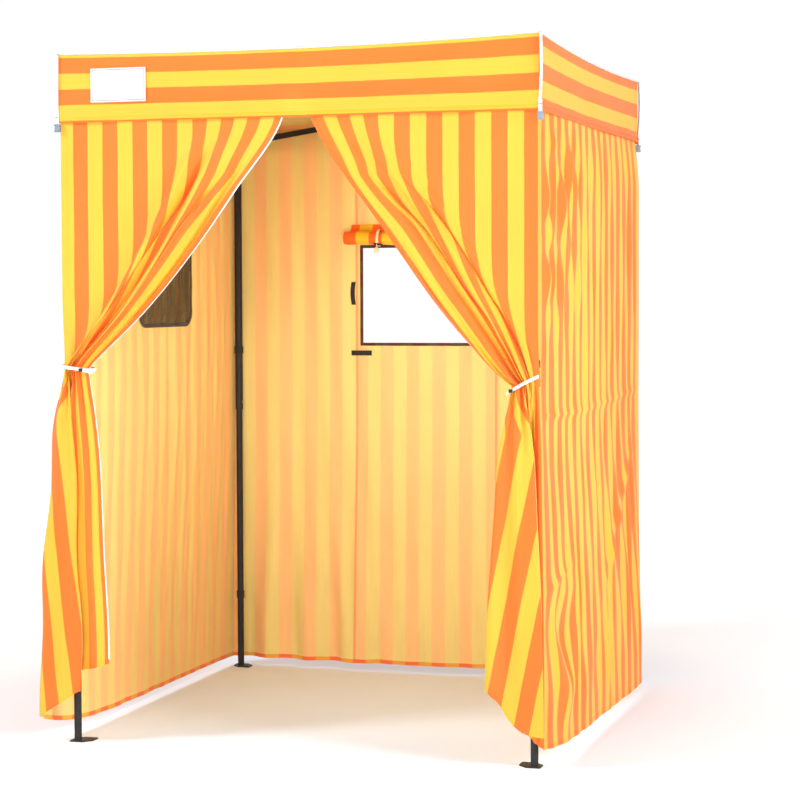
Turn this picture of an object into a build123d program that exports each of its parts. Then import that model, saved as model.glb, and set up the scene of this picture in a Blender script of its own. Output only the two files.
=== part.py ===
"""Privacy shower tent: a square folding scissor frame with a striped cloth cabin.

Frame: millimetres, +X to the right, +Y to the back, +Z up. The origin is on the floor,
in the middle between the four feet. The doorway faces -Y.
"""
import os
from math import cos, radians, sin

from build123d import *

os.makedirs("parts", exist_ok=True)

# ---------------------------------------------------------------- driving dimensions
TENT_HEIGHT = 1910.0  # floor to the top of the canopy
CANOPY_WIDTH = 1360.0  # over the roof's edges, both ways
LEG_SPAN = 1306.0  # between the legs' axes, both ways
LEG_AT = LEG_SPAN / 2

# legs
UPPER_LEG_R = 12.5
UPPER_LEG_BORE_R = 10.55
UPPER_LEG_BOTTOM = 863.0
UPPER_LEG_TOP = 1896.0
LOWER_LEG_R = 10.5
LOWER_LEG_BORE_R = 9.2
LOWER_LEG_TOP = 1045.0
LEG_TRAVEL = 760.0
BUTTON_Z = 888.0
BUTTON_R = 3.4
BUTTON_HOLE_R = 3.6

# foot plate, a chamfered square that points to the middle of the tent
FOOT_THICK = 3.0
FOOT_OUT = 19.0
FOOT_IN = 43.0
FOOT_CHAMFER = 24.0
STAKE_HOLE_R = 5.0
STAKE_HOLE_IN = 28.0

# folding sides: every bar leans by the same angle
BAR_LEAN = 8.5
PIVOT_IN = 30.0  # from a leg's axis to the bars' pivots
TOP_PIVOT_Z = 1882.0
HALF_OPENING = LEG_AT - PIVOT_IN
BAR_LENGTH = HALF_OPENING / cos(radians(BAR_LEAN))
CROSSING_AT = 0.708 * BAR_LENGTH
SLIDER_PIVOT_Z = TOP_PIVOT_Z - 2 * CROSSING_AT * sin(radians(BAR_LEAN))
BAR_HEIGHT = 18.0
BAR_THICK = 9.0
BAR_WALL = 1.0
LAYER = 5.2  # from a side's middle plane to the middle of a bar
RIVET_R = 3.0
RIVET_HOLE_R = 3.06
RIVET_HEAD_R = 6.0
RIVET_HEAD_THICK = 2.0
RIVET_GRIP = 9.9

# top brackets and sliders
BRACKET_SIZE = 34.0
BRACKET_TOP = 1902.0
BRACKET_BOTTOM = 1808.0
BRACKET_RIVETS = (1848.0, 1818.0)
SLIDER_SIZE = 36.0
SLIDER_HEIGHT = 48.0
SLIDER_BORE_R = 12.56
BRACKET_BORE_R = 12.52
FORK_GAP = 21.0
FORK_CHEEK = 4.0
FORK_HEIGHT = 26.0
FORK_END = 41.0
BUSH_R = 5.0

# release ring below each slider
RING_IN = 22.5
RING_LUG = 14.0
RING_LUG_HEIGHT = 16.0
RING_STEM_R = 2.5
RING_MAJOR_R = 12.0
RING_MINOR_R = 2.2
RING_TRAVEL = 6.0

# cloth
CLOTH = 1.5
WALL_AT = 673.5  # a wall's inner face, from the middle
WALL_TOP = 1791.0
HEM_Z = 24.0
FLARE_FROM_Z = 1000.0
FLARE = 30.0
VALANCE_AT = 677.6
VALANCE_BOTTOM = 1717.0
WINDOW_WIDTH = 456.0
WINDOW_BOTTOM = 1082.0
WINDOW_TOP = 1401.0
COVER_R = 25.0
COVER_Z = 1432.0
COVER_LENGTH = 552.0
POCKET_FRONT = -150.0
POCKET_BACK = 265.0
POCKET_BOTTOM = 1152.0
POCKET_TOP = 1378.0
POCKET_DEPTH = 15.0
TIE_HEIGHT = 18.0
TIE_THICK = 1.2
TOGGLE_R = 1.0
TOGGLE_LENGTH = 22.0
BUCKLE_X = 664.0
BUCKLE_AT = 677.0
BUCKLE_Z = 1699.0
BUCKLE_WIDTH = 26.0
BUCKLE_HEIGHT = 34.0
BUCKLE_THICK = 2.8
STRAP_HEIGHT = 22.0
STRAP_THICK = 2.0
STRAP_Z = (1061.0, 240.0)

UP = Vector(0, 0, 1)
CORNERS = {
    "back_left": Vector(-1, 1, 0),
    "back_right": Vector(1, 1, 0),
    "front_left": Vector(-1, -1, 0),
    "front_right": Vector(1, -1, 0),
}
# each side: its first corner, its second corner
SIDES = {
    "back": ("back_left", "back_right"),
    "left": ("back_left", "front_left"),
    "front": ("front_left", "front_right"),
    "right": ("back_right", "front_right"),
}


def leg_axis(corner):
    """The point on the floor below a leg."""
    return CORNERS[corner] * LEG_AT


def save(built, name):
    """Label a finished piece and write it."""
    built.part.label = name
    export_step(built.part, f"parts/{name}.step")


# ---------------------------------------------------------------- legs
def make_upper_leg(corner):
    foot = leg_axis(corner)
    inward = Vector(-CORNERS[corner].X, 0, 0)
    with BuildPart() as upper_leg:
        with BuildSketch(Plane(foot + UP * UPPER_LEG_BOTTOM)):
            Circle(UPPER_LEG_R)
            Circle(UPPER_LEG_BORE_R, mode=Mode.SUBTRACT)
        extrude(amount=UPPER_LEG_TOP - UPPER_LEG_BOTTOM)
        # two button holes: leg drawn out, and leg pushed in
        for z in (BUTTON_Z, BUTTON_Z + LEG_TRAVEL):
            with BuildSketch(Plane(foot + UP * z, z_dir=inward)):
                Circle(BUTTON_HOLE_R)
            extrude(amount=UPPER_LEG_R + 1, mode=Mode.SUBTRACT)
    save(upper_leg, f"upper_leg_{corner}")


def make_lower_leg(corner):
    foot = leg_axis(corner)
    inward = Vector(-CORNERS[corner].X, 0, 0)
    with BuildPart() as lower_leg:
        with BuildSketch(Plane(foot + UP * FOOT_THICK)):
            Circle(LOWER_LEG_R)
            Circle(LOWER_LEG_BORE_R, mode=Mode.SUBTRACT)
        extrude(amount=LOWER_LEG_TOP - FOOT_THICK)
        with BuildSketch(Plane(foot + UP * BUTTON_Z, z_dir=inward)):
            Circle(BUTTON_HOLE_R)
        extrude(amount=LOWER_LEG_R + 1, mode=Mode.SUBTRACT)
    save(lower_leg, f"lower_leg_{corner}")


def make_leg_button(corner):
    """A domed snap button that stands out through both tubes."""
    foot = leg_axis(corner)
    inward = Vector(-CORNERS[corner].X, 0, 0)
    with BuildPart() as leg_button:
        with BuildSketch(Plane(foot + UP * BUTTON_Z + inward * 5, z_dir=inward)):
            Circle(BUTTON_R)
        extrude(amount=10.5)
        dome_edge = leg_button.edges().filter_by(GeomType.CIRCLE)
        fillet(dome_edge.group_by(lambda edge: (edge.center() - foot).dot(inward))[-1], radius=2.2)
    save(leg_button, f"leg_button_{corner}")


def make_foot_plate(corner):
    foot = leg_axis(corner)
    towards_x, towards_y = -CORNERS[corner].X, -CORNERS[corner].Y
    outline = [
        (-FOOT_OUT, -FOOT_OUT),
        (FOOT_IN - FOOT_CHAMFER, -FOOT_OUT),
        (FOOT_IN, FOOT_CHAMFER - FOOT_OUT),
        (FOOT_IN, FOOT_IN),
        (FOOT_CHAMFER - FOOT_OUT, FOOT_IN),
        (-FOOT_OUT, FOOT_IN - FOOT_CHAMFER),
    ]
    with BuildPart() as foot_plate:
        with BuildSketch(Plane(foot)) as plate_outline:
            with BuildLine():
                Polyline([(x * towards_x, y * towards_y) for x, y in outline], close=True)
            make_face()
            fillet(plate_outline.vertices(), radius=5)
            with Locations((STAKE_HOLE_IN * towards_x, STAKE_HOLE_IN * towards_y)):
                Circle(STAKE_HOLE_R, mode=Mode.SUBTRACT)
        extrude(amount=FOOT_THICK)
    save(foot_plate, f"foot_plate_{corner}")


# ---------------------------------------------------------------- forks on brackets and sliders
def fork_directions(corner):
    """The two horizontal directions from a leg along its sides."""
    return Vector(-CORNERS[corner].X, 0, 0), Vector(0, -CORNERS[corner].Y, 0)


def layer_side(side, corner, is_top_bar):
    """+1 or -1: which side of the middle plane a bar lies on."""
    first = SIDES[side][0] == corner
    return 1 if first == is_top_bar else -1


def side_of(corner, direction):
    """The name of the side that runs from a corner along a direction."""
    for side, ends in SIDES.items():
        if corner in ends:
            other = ends[1] if ends[0] == corner else ends[0]
            if (leg_axis(other) - leg_axis(corner)).dot(direction) > 0.5 * LEG_SPAN:
                return side


def side_normal(side):
    """Horizontal, square to the side: the axis that its bars turn about."""
    first, second = SIDES[side]
    along = (leg_axis(second) - leg_axis(first)).normalized()
    return UP.cross(along)


def fork_pin(pivot, normal, bush_side):
    """A pivot pin with two heads, and a bush where the fork has no bar."""
    half = FORK_GAP / 2 + FORK_CHEEK
    with Locations(Plane(pivot, z_dir=normal).location):
        Cylinder(RIVET_R, 2 * half + 0.2)
    for way in (1, -1):
        head_at = pivot + normal * way * (half + 0.1 + RIVET_HEAD_THICK / 2)
        with Locations(Plane(head_at, z_dir=normal).location):
            Cylinder(RIVET_HEAD_R, RIVET_HEAD_THICK)
    with Locations(Plane(pivot + normal * bush_side * LAYER, z_dir=normal).location):
        Cylinder(BUSH_R, BAR_THICK)


def make_corner_casting(corner, name, size, bottom, top, bore_r, bore_top, pivot_z, is_top):
    """A square sleeve on the leg with two forks; a slider also has the ring's lug."""
    foot = leg_axis(corner)
    with BuildPart() as casting:
        with BuildSketch(Plane(foot + UP * bottom)):
            RectangleRounded(size, size, 5)
        extrude(amount=top - bottom)
        for direction in fork_directions(corner):
            start = foot + direction * size / 2 * 0.8 + UP * pivot_z
            reach = FORK_END - size / 2 * 0.8
            normal = UP.cross(direction)
            for way in (1, -1):
                cheek_at = start + normal * way * (FORK_GAP + FORK_CHEEK) / 2
                with BuildSketch(Plane(cheek_at, x_dir=direction, z_dir=normal)) as cheek:
                    with Locations((reach / 2, 0)):
                        Rectangle(reach, FORK_HEIGHT)
                    fillet(cheek.vertices().group_by(Axis.X)[-1], radius=9)
                extrude(amount=FORK_CHEEK / 2, both=True)
        if not is_top:
            lug_at = foot + (fork_directions(corner)[0] + fork_directions(corner)[1]) * RING_IN
            with BuildSketch(Plane(lug_at + UP * bottom)):
                RectangleRounded(RING_LUG, RING_LUG, 3)
            extrude(amount=RING_LUG_HEIGHT)
        with BuildSketch(Plane(foot + UP * bottom)):
            Circle(bore_r)
        extrude(amount=bore_top - bottom, mode=Mode.SUBTRACT)
        if not is_top:
            with BuildSketch(Plane(lug_at + UP * bottom)):
                Circle(RING_STEM_R + 0.06)
            extrude(amount=RING_LUG_HEIGHT, mode=Mode.SUBTRACT)
        for direction in fork_directions(corner):
            pivot = foot + direction * PIVOT_IN + UP * pivot_z
            with BuildSketch(Plane(pivot, z_dir=UP.cross(direction))):
                Circle(RIVET_HOLE_R)
            extrude(amount=size / 2, both=True, mode=Mode.SUBTRACT)
        for direction in fork_directions(corner):
            pivot = foot + direction * PIVOT_IN + UP * pivot_z
            side = side_of(corner, direction)
            bush_side = -layer_side(side, corner, is_top)
            fork_pin(pivot, side_normal(side), bush_side)
        if is_top:
            # domed rivets that hold the bracket on the leg
            for rivet_z in BRACKET_RIVETS:
                for direction in fork_directions(corner):
                    rivet_at = foot + direction * (size / 2 + 0.9) + UP * rivet_z
                    with Locations(Plane(rivet_at, z_dir=direction).location):
                        Cylinder(4.5, 1.6)
    save(casting, name)


def make_release_ring(corner):
    """A pull ring on a stem that slides in the lug below the slider."""
    inwards = fork_directions(corner)[0] + fork_directions(corner)[1]
    axis_at = leg_axis(corner) + inwards * RING_IN
    lug_bottom = SLIDER_PIVOT_Z - SLIDER_HEIGHT / 2
    ring_z = lug_bottom - 1.5 - RING_MAJOR_R - RING_MINOR_R
    head_z = lug_bottom + RING_LUG_HEIGHT + RING_TRAVEL + 0.5
    with BuildPart() as release_ring:
        with Locations(Plane(axis_at + UP * ring_z, z_dir=inwards.normalized()).location):
            Torus(RING_MAJOR_R, RING_MINOR_R)
        with BuildSketch(Plane(axis_at + UP * (ring_z + RING_MAJOR_R))):
            Circle(RING_STEM_R)
        extrude(amount=head_z - ring_z - RING_MAJOR_R + 1)
        with BuildSketch(Plane(axis_at + UP * head_z)):
            Circle(4)
        extrude(amount=2.5)
    save(release_ring, f"release_ring_{corner}")


# ---------------------------------------------------------------- folding bars
def rivet(centre, normal):
    """A rivet through the two crossing bars, with a head on each side."""
    with Locations(Plane(centre, z_dir=normal).location):
        Cylinder(RIVET_R, 2 * RIVET_GRIP + 0.2)
    for way in (1, -1):
        head_at = centre + normal * way * (RIVET_GRIP + RIVET_HEAD_THICK / 2)
        with Locations(Plane(head_at, z_dir=normal).location):
            Cylinder(RIVET_HEAD_R, RIVET_HEAD_THICK)


def make_bar(name, start, direction, normal, layer, rivets_at):
    """A flat tube with rounded ends and three rivet holes. rivets_at are its own rivets."""
    middle = start + direction * BAR_LENGTH / 2 + normal * layer * LAYER
    across = direction.cross(normal)
    with BuildPart() as bar:
        with BuildSketch(Plane(middle, x_dir=direction, z_dir=normal)):
            SlotOverall(BAR_LENGTH + BAR_HEIGHT, BAR_HEIGHT)
        extrude(amount=BAR_THICK / 2, both=True)
        with BuildSketch(Plane(middle, x_dir=across, z_dir=direction)):
            Rectangle(BAR_HEIGHT - 2 * BAR_WALL, BAR_THICK - 2 * BAR_WALL)
        extrude(amount=BAR_LENGTH, both=True, mode=Mode.SUBTRACT)
        for along in (0, CROSSING_AT, BAR_LENGTH):
            with BuildSketch(Plane(start + direction * along, z_dir=normal)):
                Circle(RIVET_HOLE_R)
            extrude(amount=2 * BAR_THICK, both=True, mode=Mode.SUBTRACT)
        for along in rivets_at:
            rivet(start + direction * along, normal)
    save(bar, name)


def make_side_bars(side):
    """Two bars from the top brackets down to the middle, two from the sliders up to it."""
    first, second = SIDES[side]
    along = (leg_axis(second) - leg_axis(first)).normalized()
    normal = side_normal(side)
    lean = radians(BAR_LEAN)
    for corner, way in ((first, along), (second, -along)):
        position = corner.split("_")[1 if side in ("back", "front") else 0]
        pivot = leg_axis(corner) + way * PIVOT_IN
        is_first = corner == first
        make_bar(
            f"{side}_top_bar_{position}",
            pivot + UP * TOP_PIVOT_Z,
            way * cos(lean) - UP * sin(lean),
            normal,
            layer_side(side, corner, True),
            (CROSSING_AT, BAR_LENGTH) if is_first else (CROSSING_AT,),
        )
        make_bar(
            f"{side}_slider_bar_{position}",
            pivot + UP * SLIDER_PIVOT_Z,
            way * cos(lean) + UP * sin(lean),
            normal,
            layer_side(side, corner, False),
            (BAR_LENGTH,) if is_first else (),
        )


for corner in CORNERS:
    make_upper_leg(corner)
    make_lower_leg(corner)
    make_leg_button(corner)
    make_foot_plate(corner)
    make_corner_casting(
        corner,
        f"top_bracket_{corner}",
        BRACKET_SIZE,
        BRACKET_BOTTOM,
        BRACKET_TOP,
        BRACKET_BORE_R,
        UPPER_LEG_TOP + 0.1,
        TOP_PIVOT_Z,
        True,
    )
    make_corner_casting(
        corner,
        f"slider_{corner}",
        SLIDER_SIZE,
        SLIDER_PIVOT_Z - SLIDER_HEIGHT / 2,
        SLIDER_PIVOT_Z + SLIDER_HEIGHT / 2,
        SLIDER_BORE_R,
        SLIDER_PIVOT_Z + SLIDER_HEIGHT / 2,
        SLIDER_PIVOT_Z,
        False,
    )
    make_release_ring(corner)

for side in SIDES:
    make_side_bars(side)

# ---------------------------------------------------------------- canopy
VALANCE_TOP = TENT_HEIGHT - CLOTH - 0.3
VALANCE_HEIGHT = VALANCE_TOP - VALANCE_BOTTOM
VALANCE_MIDDLE_Z = (VALANCE_TOP + VALANCE_BOTTOM) / 2

with BuildPart() as roof:
    with BuildSketch(Plane.XY.offset(TENT_HEIGHT - CLOTH)):
        RectangleRounded(CANOPY_WIDTH, CANOPY_WIDTH, 8)
    extrude(amount=CLOTH)
save(roof, "roof")

with BuildPart() as valance_front:
    with BuildSketch(Plane.XZ.offset(VALANCE_AT)):
        with Locations((0, VALANCE_MIDDLE_Z)):
            Rectangle(2 * (VALANCE_AT + CLOTH), VALANCE_HEIGHT)
    extrude(amount=CLOTH)
save(valance_front, "valance_front")

with BuildPart() as valance_back:
    mirror(valance_front.part, about=Plane.XZ)
save(valance_back, "valance_back")

with BuildPart() as valance_right:
    with BuildSketch(Plane.YZ.offset(VALANCE_AT)):
        with Locations((0, VALANCE_MIDDLE_Z)):
            Rectangle(2 * (VALANCE_AT - 0.3), VALANCE_HEIGHT)
    extrude(amount=CLOTH)
save(valance_right, "valance_right")

with BuildPart() as valance_left:
    mirror(valance_right.part, about=Plane.YZ)
save(valance_left, "valance_left")

# one webbing adjuster under each end of the front and back valances
with BuildPart() as corner_buckles:
    for corner in CORNERS.values():
        outward = Vector(0, corner.Y, 0)
        buckle_at = Vector(corner.X * BUCKLE_X, corner.Y * BUCKLE_AT, BUCKLE_Z)
        with BuildSketch(Plane(buckle_at, x_dir=(1, 0, 0), z_dir=outward)):
            RectangleRounded(BUCKLE_WIDTH, BUCKLE_HEIGHT, 3)
        extrude(amount=BUCKLE_THICK)
save(corner_buckles, "corner_buckles")

# ---------------------------------------------------------------- walls

with BuildPart() as wall_back:
    with BuildSketch(Plane.XZ.offset(-WALL_AT)):
        with BuildLine():
            Polyline(
                (WALL_AT, WALL_TOP),
                (WALL_AT, FLARE_FROM_Z),
                (WALL_AT + FLARE, HEM_Z),
                (-WALL_AT - FLARE, HEM_Z),
                (-WALL_AT, FLARE_FROM_Z),
                (-WALL_AT, WALL_TOP),
                close=True,
            )
        make_face()
        with Locations((0, (WINDOW_BOTTOM + WINDOW_TOP) / 2)):
            RectangleRounded(WINDOW_WIDTH, WINDOW_TOP - WINDOW_BOTTOM, 12, mode=Mode.SUBTRACT)
    extrude(amount=-CLOTH)
save(wall_back, "wall_back")

with BuildPart() as wall_right:
    with BuildSketch(Plane.XZ):
        with BuildLine():
            Polyline(
                (WALL_AT, WALL_TOP),
                (WALL_AT, FLARE_FROM_Z),
                (WALL_AT + FLARE, HEM_Z),
                (WALL_AT + FLARE + CLOTH, HEM_Z),
                (WALL_AT + CLOTH, FLARE_FROM_Z),
                (WALL_AT + CLOTH, WALL_TOP),
                close=True,
            )
        make_face()
    extrude(amount=WALL_AT - 0.3, both=True)
save(wall_right, "wall_right")

with BuildPart() as wall_left:
    mirror(wall_right.part, about=Plane.YZ)
save(wall_left, "wall_left")


def make_curtain(name, side_x, free_edge, lower_edge):
    """Half of the front wall, tied back to its leg: free_edge is above the tie, lower_edge below."""
    with BuildPart() as curtain:
        with BuildSketch(Plane.XZ.offset(WALL_AT)):
            with BuildLine():
                above = Spline(*[(side_x * x, z) for x, z in free_edge])
                below = Spline(*[(side_x * x, z) for x, z in lower_edge])
                Line(above @ 1, below @ 0)
                Polyline(
                    below @ 1,
                    (side_x * (WALL_AT + FLARE), HEM_Z + 40),
                    (side_x * WALL_AT, FLARE_FROM_Z),
                    (side_x * WALL_AT, WALL_TOP),
                    above @ 0,
                )
            make_face()
        extrude(amount=CLOTH)
    save(curtain, name)


# distances from the middle, and heights
make_curtain(
    "curtain_left",
    -1,
    [(12, WALL_TOP), (37, 1717), (177, 1499), (389, 1239), (584, 1034)],
    [(584, 1016), (582, 678), (570, 400), (554, 222)],
)
make_curtain(
    "curtain_right",
    1,
    [(16, WALL_TOP), (42, 1717), (190, 1454), (377, 1254), (513, 1111), (592, 1010)],
    [(592, 992), (566, 757), (549, 440), (524, 226)],
)


def make_tie(name, side_x, inner, tie_z):
    """A webbing strap across the gathered curtain, with a toggle on it."""
    front = WALL_AT + CLOTH + 0.3
    with BuildPart() as tie:
        with BuildSketch(Plane.XZ.offset(front)):
            with Locations((side_x * (inner + WALL_AT) / 2, tie_z)):
                RectangleRounded(WALL_AT - inner, TIE_HEIGHT, 2)
        extrude(amount=TIE_THICK)
        toggle_at = Vector(side_x * (inner + 30), -front - TIE_THICK - TOGGLE_R - 0.2, tie_z)
        with Locations(Plane(toggle_at, z_dir=(0, 0, 1)).location):
            Cylinder(TOGGLE_R, TOGGLE_LENGTH)
    save(tie, name)


make_tie("tie_left", -1, 586, 1025)
make_tie("tie_right", 1, 594, 1001)

# rolled window cover, held up against the inside of the back wall
with BuildPart() as window_cover:
    with BuildSketch(Plane.YZ.offset(-COVER_LENGTH / 2)):
        with Locations((WALL_AT - COVER_R - 0.5, COVER_Z)):
            Circle(COVER_R)
    extrude(amount=COVER_LENGTH)
    fillet(window_cover.edges().filter_by(GeomType.CIRCLE), radius=6)
save(window_cover, "window_cover")

# mesh pocket on the inside of the left wall, open at the top
with BuildPart() as mesh_pocket:
    with BuildSketch(Plane.XY.offset(POCKET_BOTTOM)):
        with Locations((-WALL_AT + 0.4 + POCKET_DEPTH / 2, (POCKET_FRONT + POCKET_BACK) / 2)):
            Rectangle(POCKET_DEPTH, POCKET_BACK - POCKET_FRONT)
    extrude(amount=POCKET_TOP - POCKET_BOTTOM)
    mouth = mesh_pocket.faces().sort_by(Axis.Z)[-1]
    offset(amount=-CLOTH, openings=mouth)
save(mesh_pocket, "mesh_pocket")

# touch-tape straps that hold the walls to the legs
with BuildPart() as leg_straps:
    for corner in CORNERS:
        for strap_z, leg_r in zip(STRAP_Z, (UPPER_LEG_R, LOWER_LEG_R)):
            with BuildSketch(Plane(leg_axis(corner) + UP * (strap_z - STRAP_HEIGHT / 2))):
                Circle(leg_r + 0.3 + STRAP_THICK)
                Circle(leg_r + 0.3, mode=Mode.SUBTRACT)
            extrude(amount=STRAP_HEIGHT)
save(leg_straps, "leg_straps")
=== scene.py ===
import math

import bmesh
import bpy
import numpy as np
from mathutils import Matrix, Vector


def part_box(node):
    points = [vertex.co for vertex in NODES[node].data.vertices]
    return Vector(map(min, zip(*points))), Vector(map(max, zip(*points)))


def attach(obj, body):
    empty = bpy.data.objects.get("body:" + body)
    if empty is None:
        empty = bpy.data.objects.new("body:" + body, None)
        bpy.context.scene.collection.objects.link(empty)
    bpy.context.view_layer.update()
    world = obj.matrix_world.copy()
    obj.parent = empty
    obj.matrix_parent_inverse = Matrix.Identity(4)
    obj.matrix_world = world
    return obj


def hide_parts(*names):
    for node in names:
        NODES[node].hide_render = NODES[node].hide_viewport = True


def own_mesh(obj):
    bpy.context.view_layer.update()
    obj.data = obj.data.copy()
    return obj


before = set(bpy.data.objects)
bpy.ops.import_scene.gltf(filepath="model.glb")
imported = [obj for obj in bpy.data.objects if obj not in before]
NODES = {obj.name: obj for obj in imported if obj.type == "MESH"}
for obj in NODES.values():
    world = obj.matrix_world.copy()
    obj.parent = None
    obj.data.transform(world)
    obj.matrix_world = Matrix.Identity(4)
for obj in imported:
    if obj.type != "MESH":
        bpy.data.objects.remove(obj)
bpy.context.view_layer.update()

# ---------------------------------------------------------------- sizes, in metres
STRIPE = 0.044            # width of one stripe
PERIOD = 2 * STRIPE
CLOTH = 0.0011            # thickness of one layer of cloth
THREAD = 0.0011           # one repeat of the weave
LEG = 0.653               # leg axis, from the middle
CORNER = 0.677            # where a wall's cloth turns the corner
WALL_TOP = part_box("wall_back")[1].z
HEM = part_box("wall_back")[0].z
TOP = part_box("roof")[1].z
VALANCE_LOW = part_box("valance_front")[0].z
SAG = 0.010               # how far the middle of a canopy edge hangs
ROOF_EDGE = 0.679         # the canopy's edge, from the middle
SIDE_END = 0.6755         # a side wall's ends, from the middle
BACK_END = 0.6765         # the back wall's ends, from the middle
QUARTER = 0.6785          # the edge length of a roof quarter
HEM_FOLD = 0.0125         # how high the doubled hem is
HEM_ROWS = (0.0124, 0.0128)     # the rows of points just below and just above its top
TAU = 2 * math.pi
SIDES = ("front", "back", "left", "right")


# ---------------------------------------------------------------- small maths
def smooth(t):
    """0 below 0, 1 above 1, and an even rise between."""
    t = np.clip(t, 0.0, 1.0)
    return t * t * (3 - 2 * t)


def curve(x, xs, ys):
    """A smooth line through the given points (a monotone cubic), at x."""
    xs, ys = np.asarray(xs, float), np.asarray(ys, float)
    h = np.diff(xs)
    d = np.diff(ys) / h
    m = np.zeros_like(xs)
    m[0], m[-1] = d[0], d[-1]
    for k in range(1, len(xs) - 1):
        if d[k - 1] * d[k] > 0:
            w1, w2 = 2 * h[k] + h[k - 1], h[k] + 2 * h[k - 1]
            m[k] = (w1 + w2) / (w1 / d[k - 1] + w2 / d[k])
    x = np.clip(x, xs[0], xs[-1])
    i = np.clip(np.searchsorted(xs, x, side="right") - 1, 0, len(h) - 1)
    t = (x - xs[i]) / h[i]
    return ((1 + 2 * t) * (1 - t) ** 2 * ys[i] + t * (1 - t) ** 2 * h[i] * m[i]
            + t * t * (3 - 2 * t) * ys[i + 1] + t * t * (t - 1) * h[i] * m[i + 1])


def ripple(u, v, seed, per_u, per_v, n=9):
    """Gentle irregular waves: about per_u crests a metre along u and per_v along v, about 1 high."""
    rng = np.random.default_rng(seed)
    out = 0.0
    for _ in range(n):
        fu, fv = per_u * rng.uniform(0.55, 1.5), per_v * rng.uniform(-1.3, 1.3)
        out = out + rng.uniform(0.5, 1.0) * np.sin(TAU * (fu * u + fv * v + rng.random()))
    return out / math.sqrt(n * 0.3)


def bump(x, at, half):
    """1 at the given place, fading to about a third at half away from it."""
    return np.exp(-((x - at) / half) ** 2)


# ---------------------------------------------------------------- materials
class Nodes:
    """A short way to build a node tree."""

    def __init__(self, name):
        self.mat = bpy.data.materials.new(name)
        self.mat.use_nodes = True
        self.tree = self.mat.node_tree
        self.tree.nodes.clear()
        self.out = self.add("ShaderNodeOutputMaterial")

    def add(self, kind, **props):
        n = self.tree.nodes.new(kind)
        for k, v in props.items():
            setattr(n, k, v)
        return n

    def link(self, a, b):
        self.tree.links.new(a, b)

    def put(self, socket, value):
        if isinstance(value, bpy.types.NodeSocket):
            self.link(value, socket)
        else:
            socket.default_value = value

    def math(self, op, *values, clamp=False):
        n = self.add("ShaderNodeMath", operation=op, use_clamp=clamp)
        for s, v in zip(n.inputs, values):
            self.put(s, v)
        return n.outputs[0]

    def times(self, a, b, clamp=False):
        return self.math("MULTIPLY", a, b, clamp=clamp)

    def plus(self, a, b):
        return self.math("ADD", a, b)

    def minus(self, a, b):
        return self.math("SUBTRACT", a, b)

    def waves(self, value, length):
        return self.math("SINE", self.times(value, TAU / length))

    def bumps(self, height, strength, distance):
        n = self.add("ShaderNodeBump")
        n.inputs["Strength"].default_value = strength
        n.inputs["Distance"].default_value = distance
        self.link(height, n.inputs["Height"])
        return n.outputs[0]

    def cut_place(self):
        """The place on the cut cloth, and its three parts, from the mesh's 'flat' attribute."""
        flat = self.add("ShaderNodeAttribute", attribute_name="flat").outputs["Vector"]
        parts = self.add("ShaderNodeSeparateXYZ")
        self.link(flat, parts.inputs[0])
        return flat, parts.outputs

    def ramp(self, value, lo, hi, to_lo=0.0, to_hi=1.0):
        n = self.add("ShaderNodeMapRange")
        for s, v in zip(n.inputs, (value, lo, hi, to_lo, to_hi)):
            self.put(s, v)
        return n.outputs[0]

    def mix(self, fac, a, b):
        n = self.add("ShaderNodeMix", data_type="RGBA")
        self.put(n.inputs[0], fac)
        self.put(n.inputs[6], a)
        self.put(n.inputs[7], b)
        return n.outputs[2]

    def noise(self, vec, scale, detail=3.0, rough=0.55):
        n = self.add("ShaderNodeTexNoise")
        self.link(vec, n.inputs["Vector"])
        n.inputs["Scale"].default_value = scale
        n.inputs["Detail"].default_value = detail
        n.inputs["Roughness"].default_value = rough
        return n.outputs["Fac"]

    def object_coords(self):
        return self.add("ShaderNodeTexCoord").outputs["Object"]

    def scaled(self, vec, scale):
        n = self.add("ShaderNodeMapping")
        self.link(vec, n.inputs["Vector"])
        n.inputs["Scale"].default_value = scale
        return n.outputs[0]

    def principled(self, **values):
        n = self.add("ShaderNodeBsdfPrincipled")
        for k, v in values.items():
            self.put(n.inputs[k.replace("_", " ")], v)
        return n

    def finish(self, shader):
        self.link(shader, self.out.inputs["Surface"])
        return self.mat


def rgb(r, g, b):
    """An sRGB colour as linear RGBA."""
    return tuple((c / 12.92 if c <= 0.04045 else ((c + 0.055) / 1.055) ** 2.4) for c in (r, g, b)) + (1.0,)


YELLOW, ORANGE = rgb(0.90, 0.69, 0.205), rgb(0.985, 0.435, 0.125)
DEEP_YELLOW, DEEP_ORANGE = rgb(0.95, 0.70, 0.15), rgb(0.98, 0.43, 0.12)
# PALE_YELLOW and PALE_ORANGE colour the cloth's inside face. They are partly its coated back and partly
# painted light: the glow of light shining through the single cloth. Where the cloth is doubled, the inside
# takes the deep colours, which is painted shade of the thicker cloth.
PALE_YELLOW, PALE_ORANGE = rgb(0.975, 0.935, 0.61), rgb(0.985, 0.905, 0.60)


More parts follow.
